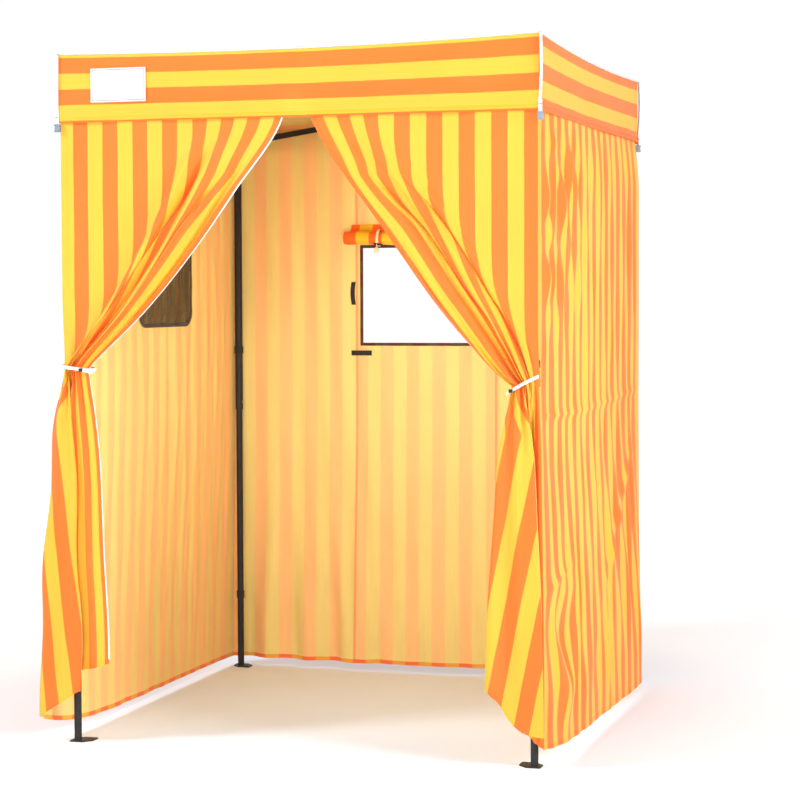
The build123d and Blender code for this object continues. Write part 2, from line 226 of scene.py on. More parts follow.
def striped(name, light, dark, deep_light, deep_dark, glow):
    """Woven striped polyester. The mesh's 'flat' attribute holds the place on the cut cloth: across the
    stripes, up from the hem, and 1 where the cloth is doubled."""
    n = Nodes(name)
    flat, (across, along, doubled) = n.cut_place()
    obj = n.object_coords()
    # the stripes' edges wander a little; above 0 is the dark stripe
    wander = n.times(n.minus(n.noise(obj, 9.0, 2.0), 0.5), 0.003)
    band = n.ramp(n.waves(n.plus(across, wander), PERIOD), -0.035, 0.035)
    threads = n.noise(n.scaled(flat, (900.0, 14.0, 1.0)), 1.0, 2.0)
    slubs = n.noise(n.scaled(flat, (260.0, 5.0, 1.0)), 1.0, 2.0)
    patch = n.noise(obj, 5.5, 3.0)
    thin = n.mix(band, light, dark)
    thick = n.mix(band, deep_light, deep_dark)
    col = n.mix(n.times(doubled, 0.9, clamp=True), thin, thick)
    tone = n.plus(n.ramp(threads, 0.25, 0.75, 0.955, 1.03), n.ramp(slubs, 0.25, 0.75, -0.03, 0.03))
    tone = n.plus(tone, n.ramp(patch, 0.3, 0.7, -0.025, 0.02))
    # a row of lockstitch along the hem's fold, slightly sunk and darker
    near = n.minus(1.0, n.ramp(n.math("ABSOLUTE", n.minus(along, 0.0115)), 0.0002, 0.0008))
    dash = n.ramp(n.waves(across, 0.0036), -0.5, -0.2)
    stitch = n.times(near, dash)
    tone = n.minus(tone, n.times(stitch, 0.16))
    bright = n.add("ShaderNodeVectorMath", operation="SCALE")
    n.link(col, bright.inputs[0])
    n.link(tone, bright.inputs[3])
    col = bright.outputs[0]
    weave = n.times(n.times(n.waves(across, THREAD), n.waves(along, THREAD)), 0.35)
    crease = n.ramp(n.noise(n.scaled(obj, (1.0, 1.0, 0.35)), 26.0, 5.0, 0.6), 0.3, 0.7, -1.0, 1.0)
    height = n.plus(n.times(weave, 0.00012), n.times(crease, 0.0011))
    height = n.minus(height, n.times(stitch, 0.0004))
    rough = n.ramp(slubs, 0.3, 0.7, 0.50, 0.64)
    face = n.principled(Base_Color=col, Roughness=rough, Normal=n.bumps(height, 0.55, 1.0))
    face.inputs["Sheen Weight"].default_value = 0.12
    face.inputs["Sheen Roughness"].default_value = 0.4
    face.inputs["Specular IOR Level"].default_value = 0.3
    through = n.add("ShaderNodeBsdfTranslucent")
    n.link(n.mix(0.35, col, (1.0, 0.96, 0.85, 1.0)), through.inputs[0])
    both = n.add("ShaderNodeMixShader")
    both.inputs[0].default_value = glow
    n.link(face.outputs[0], both.inputs[1])
    n.link(through.outputs[0], both.inputs[2])
    return n.finish(both.outputs[0])


def webbing(name, colour, rib=0.0016):
    """Woven tape or thread, with ribs of the given width."""
    n = Nodes(name)
    obj = n.object_coords()
    rows = n.add("ShaderNodeTexWave", wave_type="BANDS", bands_direction="DIAGONAL")
    n.link(obj, rows.inputs["Vector"])
    rows.inputs["Scale"].default_value = 0.32 / rib
    rows.inputs["Distortion"].default_value = 1.5
    fuzz = n.noise(obj, 900.0, 2.0)
    stain = n.noise(obj, 30.0, 3.0)
    low = tuple(c * 0.8 for c in colour[:3]) + (1.0,)
    col = n.mix(n.times(n.ramp(stain, 0.3, 0.7), 0.35), colour, low)
    col = n.mix(n.times(rows.outputs["Fac"], 0.25), col, low)
    height = n.plus(rows.outputs["Fac"], n.times(fuzz, 0.5))
    p = n.principled(Base_Color=col, Roughness=0.75, Normal=n.bumps(height, 0.5, 0.0004))
    p.inputs["Sheen Weight"].default_value = 0.2
    return n.finish(p.outputs[0])


def enamel(name, colour, rough, grain=0.25, metal=0.0, wear=0.0, shine=0.5):
    """Powder coat, moulded plastic or zinc: fine orange-peel grain, a little dust, and worn edges where
    wear is above 0."""
    n = Nodes(name)
    obj = n.object_coords()
    dust = n.noise(obj, 22.0, 4.0, 0.65)
    lift = tuple(min(1.0, c * 1.5 + 0.012) for c in colour[:3]) + (1.0,)
    col = n.mix(n.ramp(dust, 0.45, 0.75, 0.0, 0.5), colour, lift)
    if wear:
        edge = n.add("ShaderNodeNewGeometry").outputs["Pointiness"]
        col = n.mix(n.times(n.ramp(edge, 0.54, 0.62), wear), col, rgb(0.42, 0.42, 0.43))
    uneven = n.ramp(dust, 0.3, 0.7, rough * 0.85, rough * 1.2)
    p = n.principled(Base_Color=col, Roughness=uneven,
        Normal=n.bumps(n.noise(obj, 700.0, 3.0), grain, 0.0003))
    p.inputs["Metallic"].default_value = metal
    p.inputs["Specular IOR Level"].default_value = shine
    return n.finish(p.outputs[0])


def netting(name):
    """Black polyester mesh: a fine diamond net that lets the wall show through."""
    n = Nodes(name)
    flat, (across, along, _) = n.cut_place()
    a = n.waves(n.plus(across, along), 0.0028)
    c = n.waves(n.minus(across, along), 0.0028)
    hole = n.ramp(n.times(a, c), 0.10, 0.35)
    folds = n.noise(n.scaled(flat, (34.0, 5.0, 1.0)), 1.0, 2.0)
    cover = n.minus(1.0, n.times(n.ramp(hole, 0.0, 1.0, 0.45, 1.0), n.ramp(folds, 0.35, 0.65, 0.90, 0.55)))
    col = n.mix(folds, rgb(0.12, 0.10, 0.05), rgb(0.28, 0.25, 0.12))
    p = n.principled(Base_Color=col, Roughness=0.7, Alpha=cover)
    return n.finish(p.outputs[0])


CLOTH_OUT = striped("cloth_outside", YELLOW, ORANGE, DEEP_YELLOW, DEEP_ORANGE, 0.24)
CLOTH_IN = striped("cloth_inside", PALE_YELLOW, PALE_ORANGE, DEEP_YELLOW, DEEP_ORANGE, 0.5)
# the window binding is folded layers of the same striped cloth; its dark browns and dark reds are painted
# shade, for the backlit layers
SHADED_BINDING = striped("binding_cloth_painted_shade", rgb(0.26, 0.20, 0.03), rgb(0.30, 0.07, 0.02), rgb(0.5, 0.36, 0.05),
    rgb(0.5, 0.10, 0.02), 0.05)
WHITE_TAPE = webbing("white_webbing", rgb(0.86, 0.865, 0.88))
PIPING = webbing("canopy_piping", rgb(0.765, 0.755, 0.75), 0.002)
BLACK_TAPE = webbing("black_tape", rgb(0.055, 0.05, 0.04))
CREAM = enamel("cream_toggle", rgb(0.90, 0.80, 0.62), 0.5, 0.1)
LABEL = webbing("label_cloth", rgb(0.82, 0.82, 0.82), 0.0011)
LABEL_THREAD = webbing("label_thread", rgb(0.16, 0.16, 0.17), 0.001)
NET = netting("pocket_net")
TUBE = enamel("tube_enamel", rgb(0.075, 0.068, 0.052), 0.38, 0.25, 0.0, 0.12, 0.16)
COAT = enamel("powder_coat", rgb(0.08, 0.075, 0.065), 0.5, 0.4, 0.0, 0.12, 0.2)
NYLON = enamel("black_nylon", rgb(0.065, 0.065, 0.062), 0.5, 0.5, 0.0, 0.0, 0.2)
ZINC = enamel("zinc_plate", rgb(0.72, 0.72, 0.70), 0.32, 0.15, 1.0)
ACETAL = enamel("grey_acetal", rgb(0.44, 0.48, 0.54), 0.45, 0.2)

for name, obj in NODES.items():
    if name.startswith("leg_button"):
        finish = ZINC
    elif name.startswith("release_ring"):
        finish = NYLON
    elif name.startswith(("upper_leg", "lower_leg")) or "_bar_" in name:
        finish = TUBE
    elif name.startswith(("top_bracket", "slider")):
        finish = NYLON
    elif name.startswith("foot_plate"):
        finish = COAT
    else:
        continue
    obj.data.materials.clear()
    obj.data.materials.append(finish)


# ---------------------------------------------------------------- mesh builders
def make_object(name, verts, faces, mats, index=None, flat=None, angle=55.0):
    mesh = bpy.data.meshes.new(name)
    mesh.from_pydata(np.asarray(verts, float).tolist(), [], faces)
    for m in mats:
        mesh.materials.append(m)
    if index is not None:
        mesh.polygons.foreach_set("material_index", np.asarray(index, np.int32))
    if flat is not None:
        mesh.attributes.new("flat", "FLOAT_VECTOR", "POINT").data.foreach_set(
            "vector", np.asarray(flat, np.float32).ravel())
    mesh.update()
    mesh.shade_smooth()
    mesh.set_sharp_from_angle(angle=math.radians(angle))
    obj = bpy.data.objects.new(name, mesh)
    bpy.context.scene.collection.objects.link(obj)
    return obj


def cloth(name, mid, across, along, outward, doubled=None, keep=None, thick=CLOTH, mats=None):
    """A closed sheet of cloth around the surface mid (rows, columns, xyz), whose outer face looks along
    outward."""
    mid = np.asarray(mid, float)
    nu, nv = mid.shape[:2]
    du, dv = np.gradient(mid, axis=0), np.gradient(mid, axis=1)
    normal = np.cross(du, dv)
    normal /= np.maximum(np.linalg.norm(normal, axis=2, keepdims=True), 1e-12)
    flip = float((normal.mean(axis=(0, 1)) * np.asarray(outward, float)).sum()) < 0
    if flip:
        normal = -normal
    doubled = np.zeros((nu, nv)) if doubled is None else doubled
    half = (thick * (1 + 0.8 * doubled) / 2)[..., None]
    verts = np.concatenate([(mid + normal * half).reshape(-1, 3), (mid - normal * half).reshape(-1, 3)])
    keep = np.ones((nu - 1, nv - 1), bool) if keep is None else keep
    idx = np.arange(nu * nv).reshape(nu, nv)
    a, b, c, d = idx[:-1, :-1][keep], idx[1:, :-1][keep], idx[1:, 1:][keep], idx[:-1, 1:][keep]
    n = nu * nv
    outer_faces = np.stack([a, b, c, d], 1)
    inner_faces = np.stack([a, d, c, b], 1) + n
    if flip:
        outer_faces, inner_faces = outer_faces[:, ::-1], inner_faces[:, ::-1]
    rim = []
    padded = np.zeros((nu + 1, nv + 1), bool)
    padded[1:-1, 1:-1] = keep
    here = padded[1:-1, 1:-1]
    for other, p, q in (
        (padded[1:-1, :-2], idx[:-1, :-1], idx[1:, :-1]),
        (padded[2:, 1:-1], idx[1:, :-1], idx[1:, 1:]),
        (padded[1:-1, 2:], idx[1:, 1:], idx[:-1, 1:]),
        (padded[:-2, 1:-1], idx[:-1, 1:], idx[:-1, :-1]),
    ):
        edge = here & ~other
        p, q = p[edge], q[edge]
        quad = np.stack([q, p, p + n, q + n], 1)
        rim.append(quad[:, ::-1] if flip else quad)
    rim = np.concatenate(rim)
    faces = np.concatenate([outer_faces, inner_faces, rim])
    index = np.concatenate([np.zeros(len(outer_faces)), np.ones(len(inner_faces)), np.zeros(len(rim))])
    used = np.zeros(2 * n, bool)
    used[faces.ravel()] = True
    renumber = np.cumsum(used) - 1
    flat = np.stack([across, along, doubled], 2).reshape(-1, 3)
    flat = np.concatenate([flat, flat])[used]
    return make_object(name, verts[used], renumber[faces].tolist(), mats or [CLOTH_OUT, CLOTH_IN], index,
        flat)


def skin(n, k, closed, turned=False):
    """Faces round n rings of k points each, with flat ends where the run isn't closed."""
    faces = []
    for i in range(n if closed else n - 1):
        j = (i + 1) % n
        for a in range(k):
            b = (a + 1) % k
            quad = ((i * k + a, j * k + a, j * k + b, i * k + b) if turned
                else (i * k + a, i * k + b, j * k + b, j * k + a))
            faces.append(quad)
    if not closed:
        first, last = list(range(k)), [(n - 1) * k + a for a in range(k)]
        faces += [first, last[::-1]] if turned else [first[::-1], last]
    return faces


def tube(name, path, radius, mat, sides=10, up=(0, 0, 1)):
    """A round bar along path, a list of points, with one radius or one for each point."""
    path = np.asarray(path, float)
    tangent = np.gradient(path, axis=0)
    tangent /= np.linalg.norm(tangent, axis=1, keepdims=True)
    side = np.cross(tangent, np.asarray(up, float))
    bad = np.linalg.norm(side, axis=1) < 1e-6
    side[bad] = (1, 0, 0)
    side /= np.linalg.norm(side, axis=1, keepdims=True)
    high = np.cross(side, tangent)
    ang = np.arange(sides) / sides * TAU
    ring = np.cos(ang)[None, :, None] * side[:, None] + np.sin(ang)[None, :, None] * high[:, None]
    verts = (path[:, None] + ring * np.asarray(radius, float).reshape(-1, 1, 1)).reshape(-1, 3)
    return make_object(name, verts, skin(len(path), sides, False), [mat], angle=50)


def ribbon(name, path, wide, width, thick, mat, closed=False):
    """A flat strap along path: wide is the unit vector across its width at each point, or one for all."""
    path = np.asarray(path, float)
    wide = np.broadcast_to(np.asarray(wide, float), path.shape)
    tangent = np.roll(path, -1, 0) - np.roll(path, 1, 0) if closed else np.gradient(path, axis=0)
    tangent /= np.linalg.norm(tangent, axis=1, keepdims=True)
    out = np.cross(tangent, wide)
    out /= np.linalg.norm(out, axis=1, keepdims=True)
    w, t = width / 2, thick / 2
    section = [(-w, -t * 0.5), (-w, t * 0.5), (-w * 0.94, t), (w * 0.94, t), (w, t * 0.5), (w, -t * 0.5),
        (w * 0.94, -t), (-w * 0.94, -t)]
    ring = np.stack([wide * a + out * b for a, b in section], 1)
    verts = (path[:, None] + ring).reshape(-1, 3)
    return make_object(name, verts, skin(len(path), len(section), closed, turned=True), [mat], angle=40)


def block(name, centre, size, mat, bevel=0.0015, segments=3):
    """A moulded block with rounded edges."""
    bm = bmesh.new()
    bmesh.ops.create_cube(bm, size=1.0)
    bmesh.ops.scale(bm, vec=Vector(size), verts=bm.verts)
    bmesh.ops.bevel(bm, geom=bm.edges[:], offset=bevel, segments=segments, affect="EDGES", profile=0.6)
    bmesh.ops.translate(bm, vec=Vector(centre), verts=bm.verts)
    mesh = bpy.data.meshes.new(name)
    bm.to_mesh(mesh)
    bm.free()
    mesh.materials.append(mat)
    mesh.shade_smooth()
    mesh.set_sharp_from_angle(angle=math.radians(40))
    obj = bpy.data.objects.new(name, mesh)
    bpy.context.scene.collection.objects.link(obj)
    return obj


def join(name, objs):
    """Joins meshes of one finish into one piece."""
    verts, faces, mats, index, base = [], [], [], [], 0
    for o in objs:
        for m in o.data.materials:
            if m not in mats:
                mats.append(m)
        verts += [v.co[:] for v in o.data.vertices]
        for p in o.data.polygons:
            faces.append([base + v for v in p.vertices])
            index.append(mats.index(o.data.materials[p.material_index]))
        base += len(o.data.vertices)
        mesh = o.data
        bpy.data.objects.remove(o)
        bpy.data.meshes.remove(mesh)
    return make_object(name, verts, faces, mats, index, angle=42)


# ---------------------------------------------------------------- which leg each side's pieces ride on
KEEP = 0.214     # the share of a side's width that is left between the folded legs
FOLD = {
    "back": ("leg_back_left", (1, 0, 0), (-LEG, 0, 0), KEEP),
    "left": ("leg_back_left", (0, 1, 0), (0, LEG, 0), KEEP),
    "right": ("leg_back_right", (0, 1, 0), (0, LEG, 0), KEEP),
    "front_left": ("leg_front_left", (1, 0, 0), (-LEG, 0, 0), KEEP),
    "front_right": ("leg_front_right", (1, 0, 0), (LEG, 0, 0), KEEP),
}


def gather(obj, place):
    """Puts a piece on the leg body listed for its side, with a mesh of its own."""
    body, axis, anchor, keep = FOLD[place]
    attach(obj, body)
    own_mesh(obj)
    return obj


def on_bar(obj, bar):
    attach(obj, bar)
    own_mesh(obj)
    return obj


# ---------------------------------------------------------------- the corners, shared by two cloths
DEPTH = [0.0, 0.05, 0.12, 0.20, 0.36, 0.64, 0.97, 1.1]      # below the tie
OPENING = [0.0, 0.14, 0.36, 0.52, 0.66, 0.90, 1.0, 1.0]     # how far the cloth has let go of the tie
TIE_Z = {-1: 1.040, 1: 1.004}
CORNER_X = {-1: 0.677, 1: 0.669}      # the canopy's front right corner sits a little in


def let_go(side, z):
    """How far the cloth has let go of the tie at height z, from 0 at the tie to 1 at the hem."""
    return curve(np.maximum(TIE_Z[side] - z, 0.0), DEPTH, OPENING)


CORNER_TIE = {-1: (0.671, -0.6745), 1: (0.6685, -0.6745)}
CORNER_HEM = {-1: (0.745, -0.668), 1: (0.684, -0.676)}


def right_lean(y):
    """How far the canopy's right edge lies outside its square outline: in at the front, out at the back."""
    return -0.0062 + 0.0142 * smooth((y + ROOF_EDGE) / (2 * ROOF_EDGE))


def back_line(side, z):
    """x (away from the middle) and y of the vertical edge where a side wall meets the back wall."""
    low = smooth((1.0 - z) / 0.98)
    if side < 0:
        return 0.6752 + 0.021 * low, 0.6757 + 0.022 * low
    high = smooth((WALL_TOP + 0.02 - z) / 0.25)
    return 0.6752 + 0.017 * high + 0.004 * low, 0.6757 + 0.004 * low


def corner_line(side, z):
    """x (away from the middle) and y of the vertical edge where a side wall meets its curtain."""
    z = np.asarray(z, float)
    top = smooth((z - TIE_Z[side]) / 0.22)
    x = CORNER_TIE[side][0] * (1 - top) + (CORNER_X[side] - 0.0012) * top
    y = CORNER_TIE[side][1] * (1 - top) - 0.6752 * top
    g = let_go(side, z)
    wavy = 0.0045 * np.sin((TIE_Z[side] - z) * TAU / 0.42) * smooth((TIE_Z[side] - z) / 0.2) * (side < 0)
    return x + (CORNER_HEM[side][0] - x) * g + wavy, y + (CORNER_HEM[side][1] - y) * g


# ---------------------------------------------------------------- side walls
def hem_doubled(along):
    """1 where a cloth is folded double at its hem."""
    return (along < HEM_FOLD).astype(float)


def hem_rows(height, n):
    """n heights above a hem, with three of them on its doubled part."""
    return np.concatenate([np.linspace(0, HEM_ROWS[0], 3), np.linspace(HEM_ROWS[1], height, n - 3)])


def side_wall(side):
    """The left (-1) or right (1) wall, joined to a curtain in front and the back wall behind."""
    ny, nz = 300, 190
    y = np.linspace(-SIDE_END, SIDE_END, ny)
    v = hem_rows(WALL_TOP - HEM, nz)
    Y, V = np.meshgrid(y, v, indexing="ij")
    front = Y + SIDE_END
    # the hem's front corner lifts a little
    hem = HEM + (0.028 * np.exp(-front / 0.16) if side > 0 else 0.036 * np.exp(-front / 0.12))
    Z = hem + V * (WALL_TOP - hem) / (WALL_TOP - HEM)
    flare = 0.030 * smooth((1.0 - Z) / 0.98)
    edges = smooth(front / 0.05) * smooth((SIDE_END - Y) / 0.035)
    high = smooth((WALL_TOP - Z - (0.04 if side > 0 else 0.0)) / (0.13 if side > 0 else 0.09))
    if side > 0:
        gathers = ripple(Y, Z, 11, 9.0, 0.5) * (0.0013 + 0.0008 * smooth((0.9 - Z) / 0.6))
        fine = ripple(Y, Z, 12, 13.0, 2.0) * 0.0011 + ripple(Y, Z, 18, 30.0, 4.0) * 0.0003
        top_slack = ripple(Y, Z, 13, 9.0, 4.4) * 0.0072 * smooth((Z - 1.00) / 0.45) * bump(Y, -0.54, 0.30)
        low_lumps = ripple(Y, Z, 14, 6.0, 3.2) * 0.0036 * smooth((0.62 - Z) / 0.35) * bump(Y, -0.52, 0.42)
        out = gathers + fine + top_slack + low_lumps
        # the crease across the wall at the tie's height, and the ones near the feet
        line = 0.922 + 0.012 * (Y + 0.6) - 0.010 * np.sin((Y + 0.67) * 3.0)
        out += (0.0042 * np.exp(-np.abs(Z - line) / 0.012) * smooth(front / 0.1)
            - 0.003 * smooth((line - Z) / 0.02) * smooth((Z - line + 0.3) / 0.2))
        line = 0.455 + 0.16 * (Y + 0.66)
        out += 0.010 * np.exp(-np.abs(Z - line) / 0.020) * bump(Y, -0.56, 0.17)
        out += (0.013 * np.sin((Z - 0.10) * TAU / 0.34 + 2.5 * (Y + 0.6)) * bump(Y, -0.50, 0.15)
            * smooth((0.50 - Z) / 0.08) * smooth((Z - 0.03) / 0.1))
        run = (Y - 0.08) * 0.62 + (Z - 0.42) * -0.78       # across the long diagonal pull
        along_run = (Y - 0.08) * 0.78 + (Z - 0.42) * 0.62
        out += (0.0075 * np.exp(-(run / 0.020) ** 2) * smooth(along_run / 0.2 + 0.6)
            * smooth((0.62 - along_run) / 0.2))
        run = (Y - 0.30) * 0.95 + (Z - 0.9) * 0.28
        out += 0.0045 * np.sin(run * TAU / 0.14) * bump(Z, 0.65, 0.42) * bump(Y, 0.36, 0.26)
        out += 0.003 * ripple(Y, Z, 15, 4.0, 1.0) * smooth((0.35 - Z) / 0.3)
        sway = 0.004 * ripple(Y, Z, 17, 3.0, 1.5)
    else:
        out = ripple(Y, Z, 21, 8.0, 0.8) * 0.0016 + ripple(Y, Z, 22, 20.0, 2.6) * 0.0008
        out += 0.0040 * ripple(Y, Z, 23, 4.0, 0.8) * smooth((0.55 - Z) / 0.5)
        sway = 0.002 * ripple(Y, Z, 27, 3.0, 1.5)
    if side > 0:      # it stands away from its rear leg
        flare = (flare * 0.80 + (front / (2 * SIDE_END)) * (0.017 + 0.006 * smooth((0.9 - Z) / 0.8))
            * smooth((WALL_TOP + 0.02 - Z) / 0.25))
        flare = flare + 0.010 * bump(Y, 0.42, 0.30) * smooth((0.8 - Z) / 0.7)
    calm = 0.30 + 0.70 * smooth((Z - hem - 0.02) / 0.16)      # the hem pulls the waves flat
    base = (CORNER - 0.0026 if side < 0
        else CORNER_X[1] - 0.0012 + (CORNER - CORNER_X[1] - 0.001) * smooth(front / 0.45))
    X = base + flare * smooth(front / 0.08) + out * edges * high * calm
    # the wall stays outside the legs
    X = np.maximum(X, (0.6725 if side < 0 else 0.6675 + 0.0050 * smooth(front / 0.3)))
    cx, cy = corner_line(side, Z)
    pull = np.exp(-(front / (0.13 if side < 0 else 0.07)) ** 1.6)
    X = X * (1 - pull) + (cx + 0.0002) * pull
    Yp = Y + sway * edges * high + (cy + SIDE_END) * pull
    bx, by = back_line(side, Z)
    rear = np.exp(-((SIDE_END - Y) / 0.07) ** 1.6)
    X = X * (1 - rear) + bx * rear
    Yp = Yp + (by - SIDE_END) * rear
    mid = np.stack([side * X, Yp, Z], 2)
    slack, stripe_start = 1.012, 0.040
    name = "wall_right_cloth" if side > 0 else "wall_left_cloth"
    return cloth(name, mid, front * slack - stripe_start, V, (side, 0, 0), hem_doubled(V))


wall_left = side_wall(-1)
wall_right = side_wall(1)

# ---------------------------------------------------------------- back wall with its window
WIN_X, WIN_LO, WIN_HI = 0.228, 1.082, 1.401
SEAMS = (-0.246, 0.221)
BACK_STRIPE = 0.012       # where the back wall's middle stripe starts


def back_surface(x, z):
    """y of the back wall's cloth."""
    high = smooth((WALL_TOP - z) / 0.10)
    ends = smooth((0.676 - np.abs(x)) / 0.04)
    flat_part = 1 - 0.75 * bump(x, 0.0, 0.30) * bump(z, 1.24, 0.30)
    low = smooth((0.75 - z) / 0.7)
    wave = ((ripple(x, z, 31, 5.0, 0.35) * (0.0018 + 0.0075 * low)
        + ripple(x, z, 32, 12.0, 1.1) * (0.0011 + 0.0012 * low)) * flat_part)
    hem_y = curve(x, [-0.70, -0.62, -0.455, -0.237, 0.0, 0.30, 0.55, 0.70],
        [0.700, 0.694, 0.685, 0.664, 0.657, 0.668, 0.680, 0.688])
    y = CORNER - 0.0022 + (hem_y - CORNER + 0.0022) * smooth((1.0 - z) / 0.98) + wave * ends * high
    legs = np.exp(-((np.abs(x) - LEG) / 0.03) ** 2)
    y = np.maximum(y, 0.655 + 0.0165 * np.maximum(legs, smooth((z - 0.75) / 0.2)))
    for side in (-1, 1):
        by = back_line(side, z)[1]
        near = np.exp(-(np.maximum(BACK_END - side * x, 0.0) / 0.03) ** 1.5)
        y = y * (1 - near) + by * near
    return y


def back_wall():
    """The back wall in one sheet, with the window's hole and two sewn seams."""
    xs = np.unique(np.concatenate([
        np.linspace(-BACK_END, BACK_END, 300), [-WIN_X, WIN_X],
        np.add.outer(SEAMS, (-0.0045, -0.0035, 0.0035, 0.0045)).ravel()]))
    zs = np.unique(np.concatenate([
        np.linspace(HEM, WALL_TOP, 190), [WIN_LO, WIN_HI, HEM + HEM_ROWS[0], HEM + HEM_ROWS[1]]]))
    X, Z = np.meshgrid(xs, zs, indexing="ij")
    spread = np.where(X > 0, back_line(1, Z)[0], back_line(-1, Z)[0]) / BACK_END
    y = back_surface(X, Z)
    # the seams count as partly doubled cloth, so they take the deep colours. The seam's extra layers are
    # real; their darker look on the inside face is painted shade.
    seam = np.zeros_like(X)
    for at in SEAMS:
        seam = np.maximum(seam, 0.45 * (np.abs(X - at) < 0.0036))
    mx, mz = (xs[:-1] + xs[1:]) / 2, (zs[:-1] + zs[1:]) / 2
    hole = (np.abs(mx) < WIN_X)[:, None] & ((mz > WIN_LO) & (mz < WIN_HI))[None, :]
    mid = np.stack([X * spread, y, Z], 2)
    doubled = np.maximum(hem_doubled(Z - HEM), seam)
    return cloth("wall_back_cloth", mid, X - BACK_STRIPE, Z - HEM, (0, 1, 0), doubled, keep=~hole)


wall_back = back_wall()


def window_parts():
    """The double-folded binding round the window, as one frame with mitred corners."""
    thick = 0.0034
    middle, half_height = (WIN_LO + WIN_HI) / 2, (WIN_HI - WIN_LO) / 2
    corners = ((-1, -1), (1, -1), (1, 1), (-1, 1), (-1, -1))
    loop = []
    for (x0, z0), (x1, z1) in zip(corners, corners[1:]):
        for k in np.linspace(0, 1, 30, endpoint=False):
            loop.append(((x0 + (x1 - x0) * k) * WIN_X, middle + (z0 + (z1 - z0) * k) * half_height))
    loop = np.array(loop)
    verts, flat = [], []
    per = np.concatenate([[0], np.cumsum(np.linalg.norm(np.diff(loop, axis=0), axis=1))])
    section = [(-0.006, -0.5), (-0.006, 0.5), (-0.0045, 1.0), (0.0025, 1.0), (0.004, 0.5), (0.004, -0.5),
        (0.0025, -1.0), (-0.0045, -1.0)]
    for i, (x, z) in enumerate(loop):
        y = float(back_surface(np.array(x), np.array(z)))
        sx, sz = np.sign(x), np.sign(z - middle)
        ax = 1.0 if abs(abs(x) - WIN_X) < 1e-6 else 0.0
        az = 1.0 if abs(abs(z - middle) - half_height) < 1e-6 else 0.0
        for o, h in section:
            verts.append((x - ax * sx * o, y + h * thick / 2, z - az * sz * o))
            flat.append((per[i], 0.05, 0.0))
    faces = skin(len(loop), len(section), True)
    return make_object("window_binding", verts, faces, [SHADED_BINDING], None, flat, angle=45)


window_binding = window_parts()

COVER = striped("cover_cloth", rgb(0.95, 0.74, 0.13), rgb(1.0, 0.42, 0.10), DEEP_YELLOW, DEEP_ORANGE, 0.22)
ROLL_HALF = 0.276         # half the length of the rolled cover
ROLL_Y, ROLL_Z = 0.6455, 1.4325


def rolled_cover():
    """The window's cover, rolled up above it."""
    n_len, n_around, turns = 90, 26, 2.6
    xs = np.linspace(-ROLL_HALF, ROLL_HALF, n_len)
    total = int(n_around * turns)
    k = np.linspace(0, 1, total)
    ang = TAU * turns * k + 1.9
    X, A = np.meshgrid(xs, ang, indexing="ij")
    K = np.meshgrid(xs, k, indexing="ij")[1]
    r = 0.0085 + 0.0150 * K + 0.0007 * ripple(X, A * 0.1, 41, 8.0, 2.0)
    ends = 1 - 0.10 * smooth((np.abs(X) - 0.262) / 0.014)
    droop = -0.004 * (1 - (X / ROLL_HALF) ** 2)
    shift = 0.006 * (K - 0.6) * np.sign(X)
    mid = np.stack([X + shift, ROLL_Y + r * ends * np.cos(A), ROLL_Z + droop + r * ends * np.sin(A)], 2)
    return cloth("window_cover_roll", mid, X + BACK_STRIPE, 0.05 + K * 0.3, (0, 0, 0), None, thick=0.0013,
        mats=[COVER, COVER])


window_roll = rolled_cover()
# the flap of the cover that runs from its seam above the roll down to it
fx, fz = np.meshgrid(np.linspace(-0.262, 0.262, 80), np.linspace(0, 1, 12), indexing="ij")
flap_mid = np.stack([fx, 0.6700 - 0.020 * fz ** 2 - 0.0015 * np.sin(fx * 30),
    1.474 - 0.0265 * fz - 0.004 * fz ** 2], 2)
window_flap = cloth("window_cover_flap", flap_mid, fx + BACK_STRIPE, 0.05 + fz * 0.03, (0, 1, 0), None,
    mats=[COVER, COVER])


# ---------------------------------------------------------------- curtains
A_MAX = {-1: CORNER_X[-1] - 0.012, 1: CORNER_X[1] - 0.016}
EDGE = {  # the free edge, distance from the middle against height
    -1: ([1.038, 1.060, 1.080, 1.192, 1.361, 1.524, 1.714, 1.791],
        [0.600, 0.580, 0.558, 0.436, 0.287, 0.163, 0.032, 0.012]),
    1: ([1.002, 1.040, 1.113, 1.222, 1.365, 1.486, 1.610, 1.712, 1.791],
        [0.596, 0.547, 0.475, 0.381, 0.277, 0.190, 0.108, 0.050, 0.016]),
}
BEND = {  # where the straight-hanging cloth starts to be drawn aside
    -1: ([1.040, 1.067, 1.136, 1.205, 1.270, 1.343, 1.418, 1.496, 1.600, 1.700, 1.791],
         [0.664, 0.645, 0.597, 0.551, 0.509, 0.464, 0.420, 0.376, 0.332, 0.270, 0.200]),
    1: ([1.018, 1.060, 1.175, 1.261, 1.411, 1.535, 1.669, 1.791],
        [0.664, 0.655, 0.605, 0.551, 0.463, 0.375, 0.250, 0.160]),
}
PLEAT = {  # height of the folds across the drawn cloth, from the straight part (0) to the free edge (1)
    -1: ([0, 0.05, 0.13, 0.22, 0.33, 0.43, 0.55, 0.70, 0.80, 0.88, 0.94, 1.0],
         [0, 0.45, 0.95, 0.70, 0.10, 0.60, 1.0, 0.85, 0.55, 0.10, 0.45, 0.25]),
    1: ([0, 0.07, 0.14, 0.25, 0.34, 0.44, 0.52, 0.62, 0.74, 0.90, 1.0],
        [0, 0.35, 0.20, 0.80, 0.75, 0.12, 0.10, 0.70, 0.95, 0.90, 0.50]),
}
# where cloth is tucked away between the folds: place on the drawn cloth, half width, share hidden, depth
TUCK = {
    -1: [(0.27, 0.080, 0.94, 0.018), (0.66, 0.085, 0.94, 0.018)],
    1: [(0.20, 0.060, 0.90, 0.012), (0.54, 0.100, 0.95, 0.020)],
}
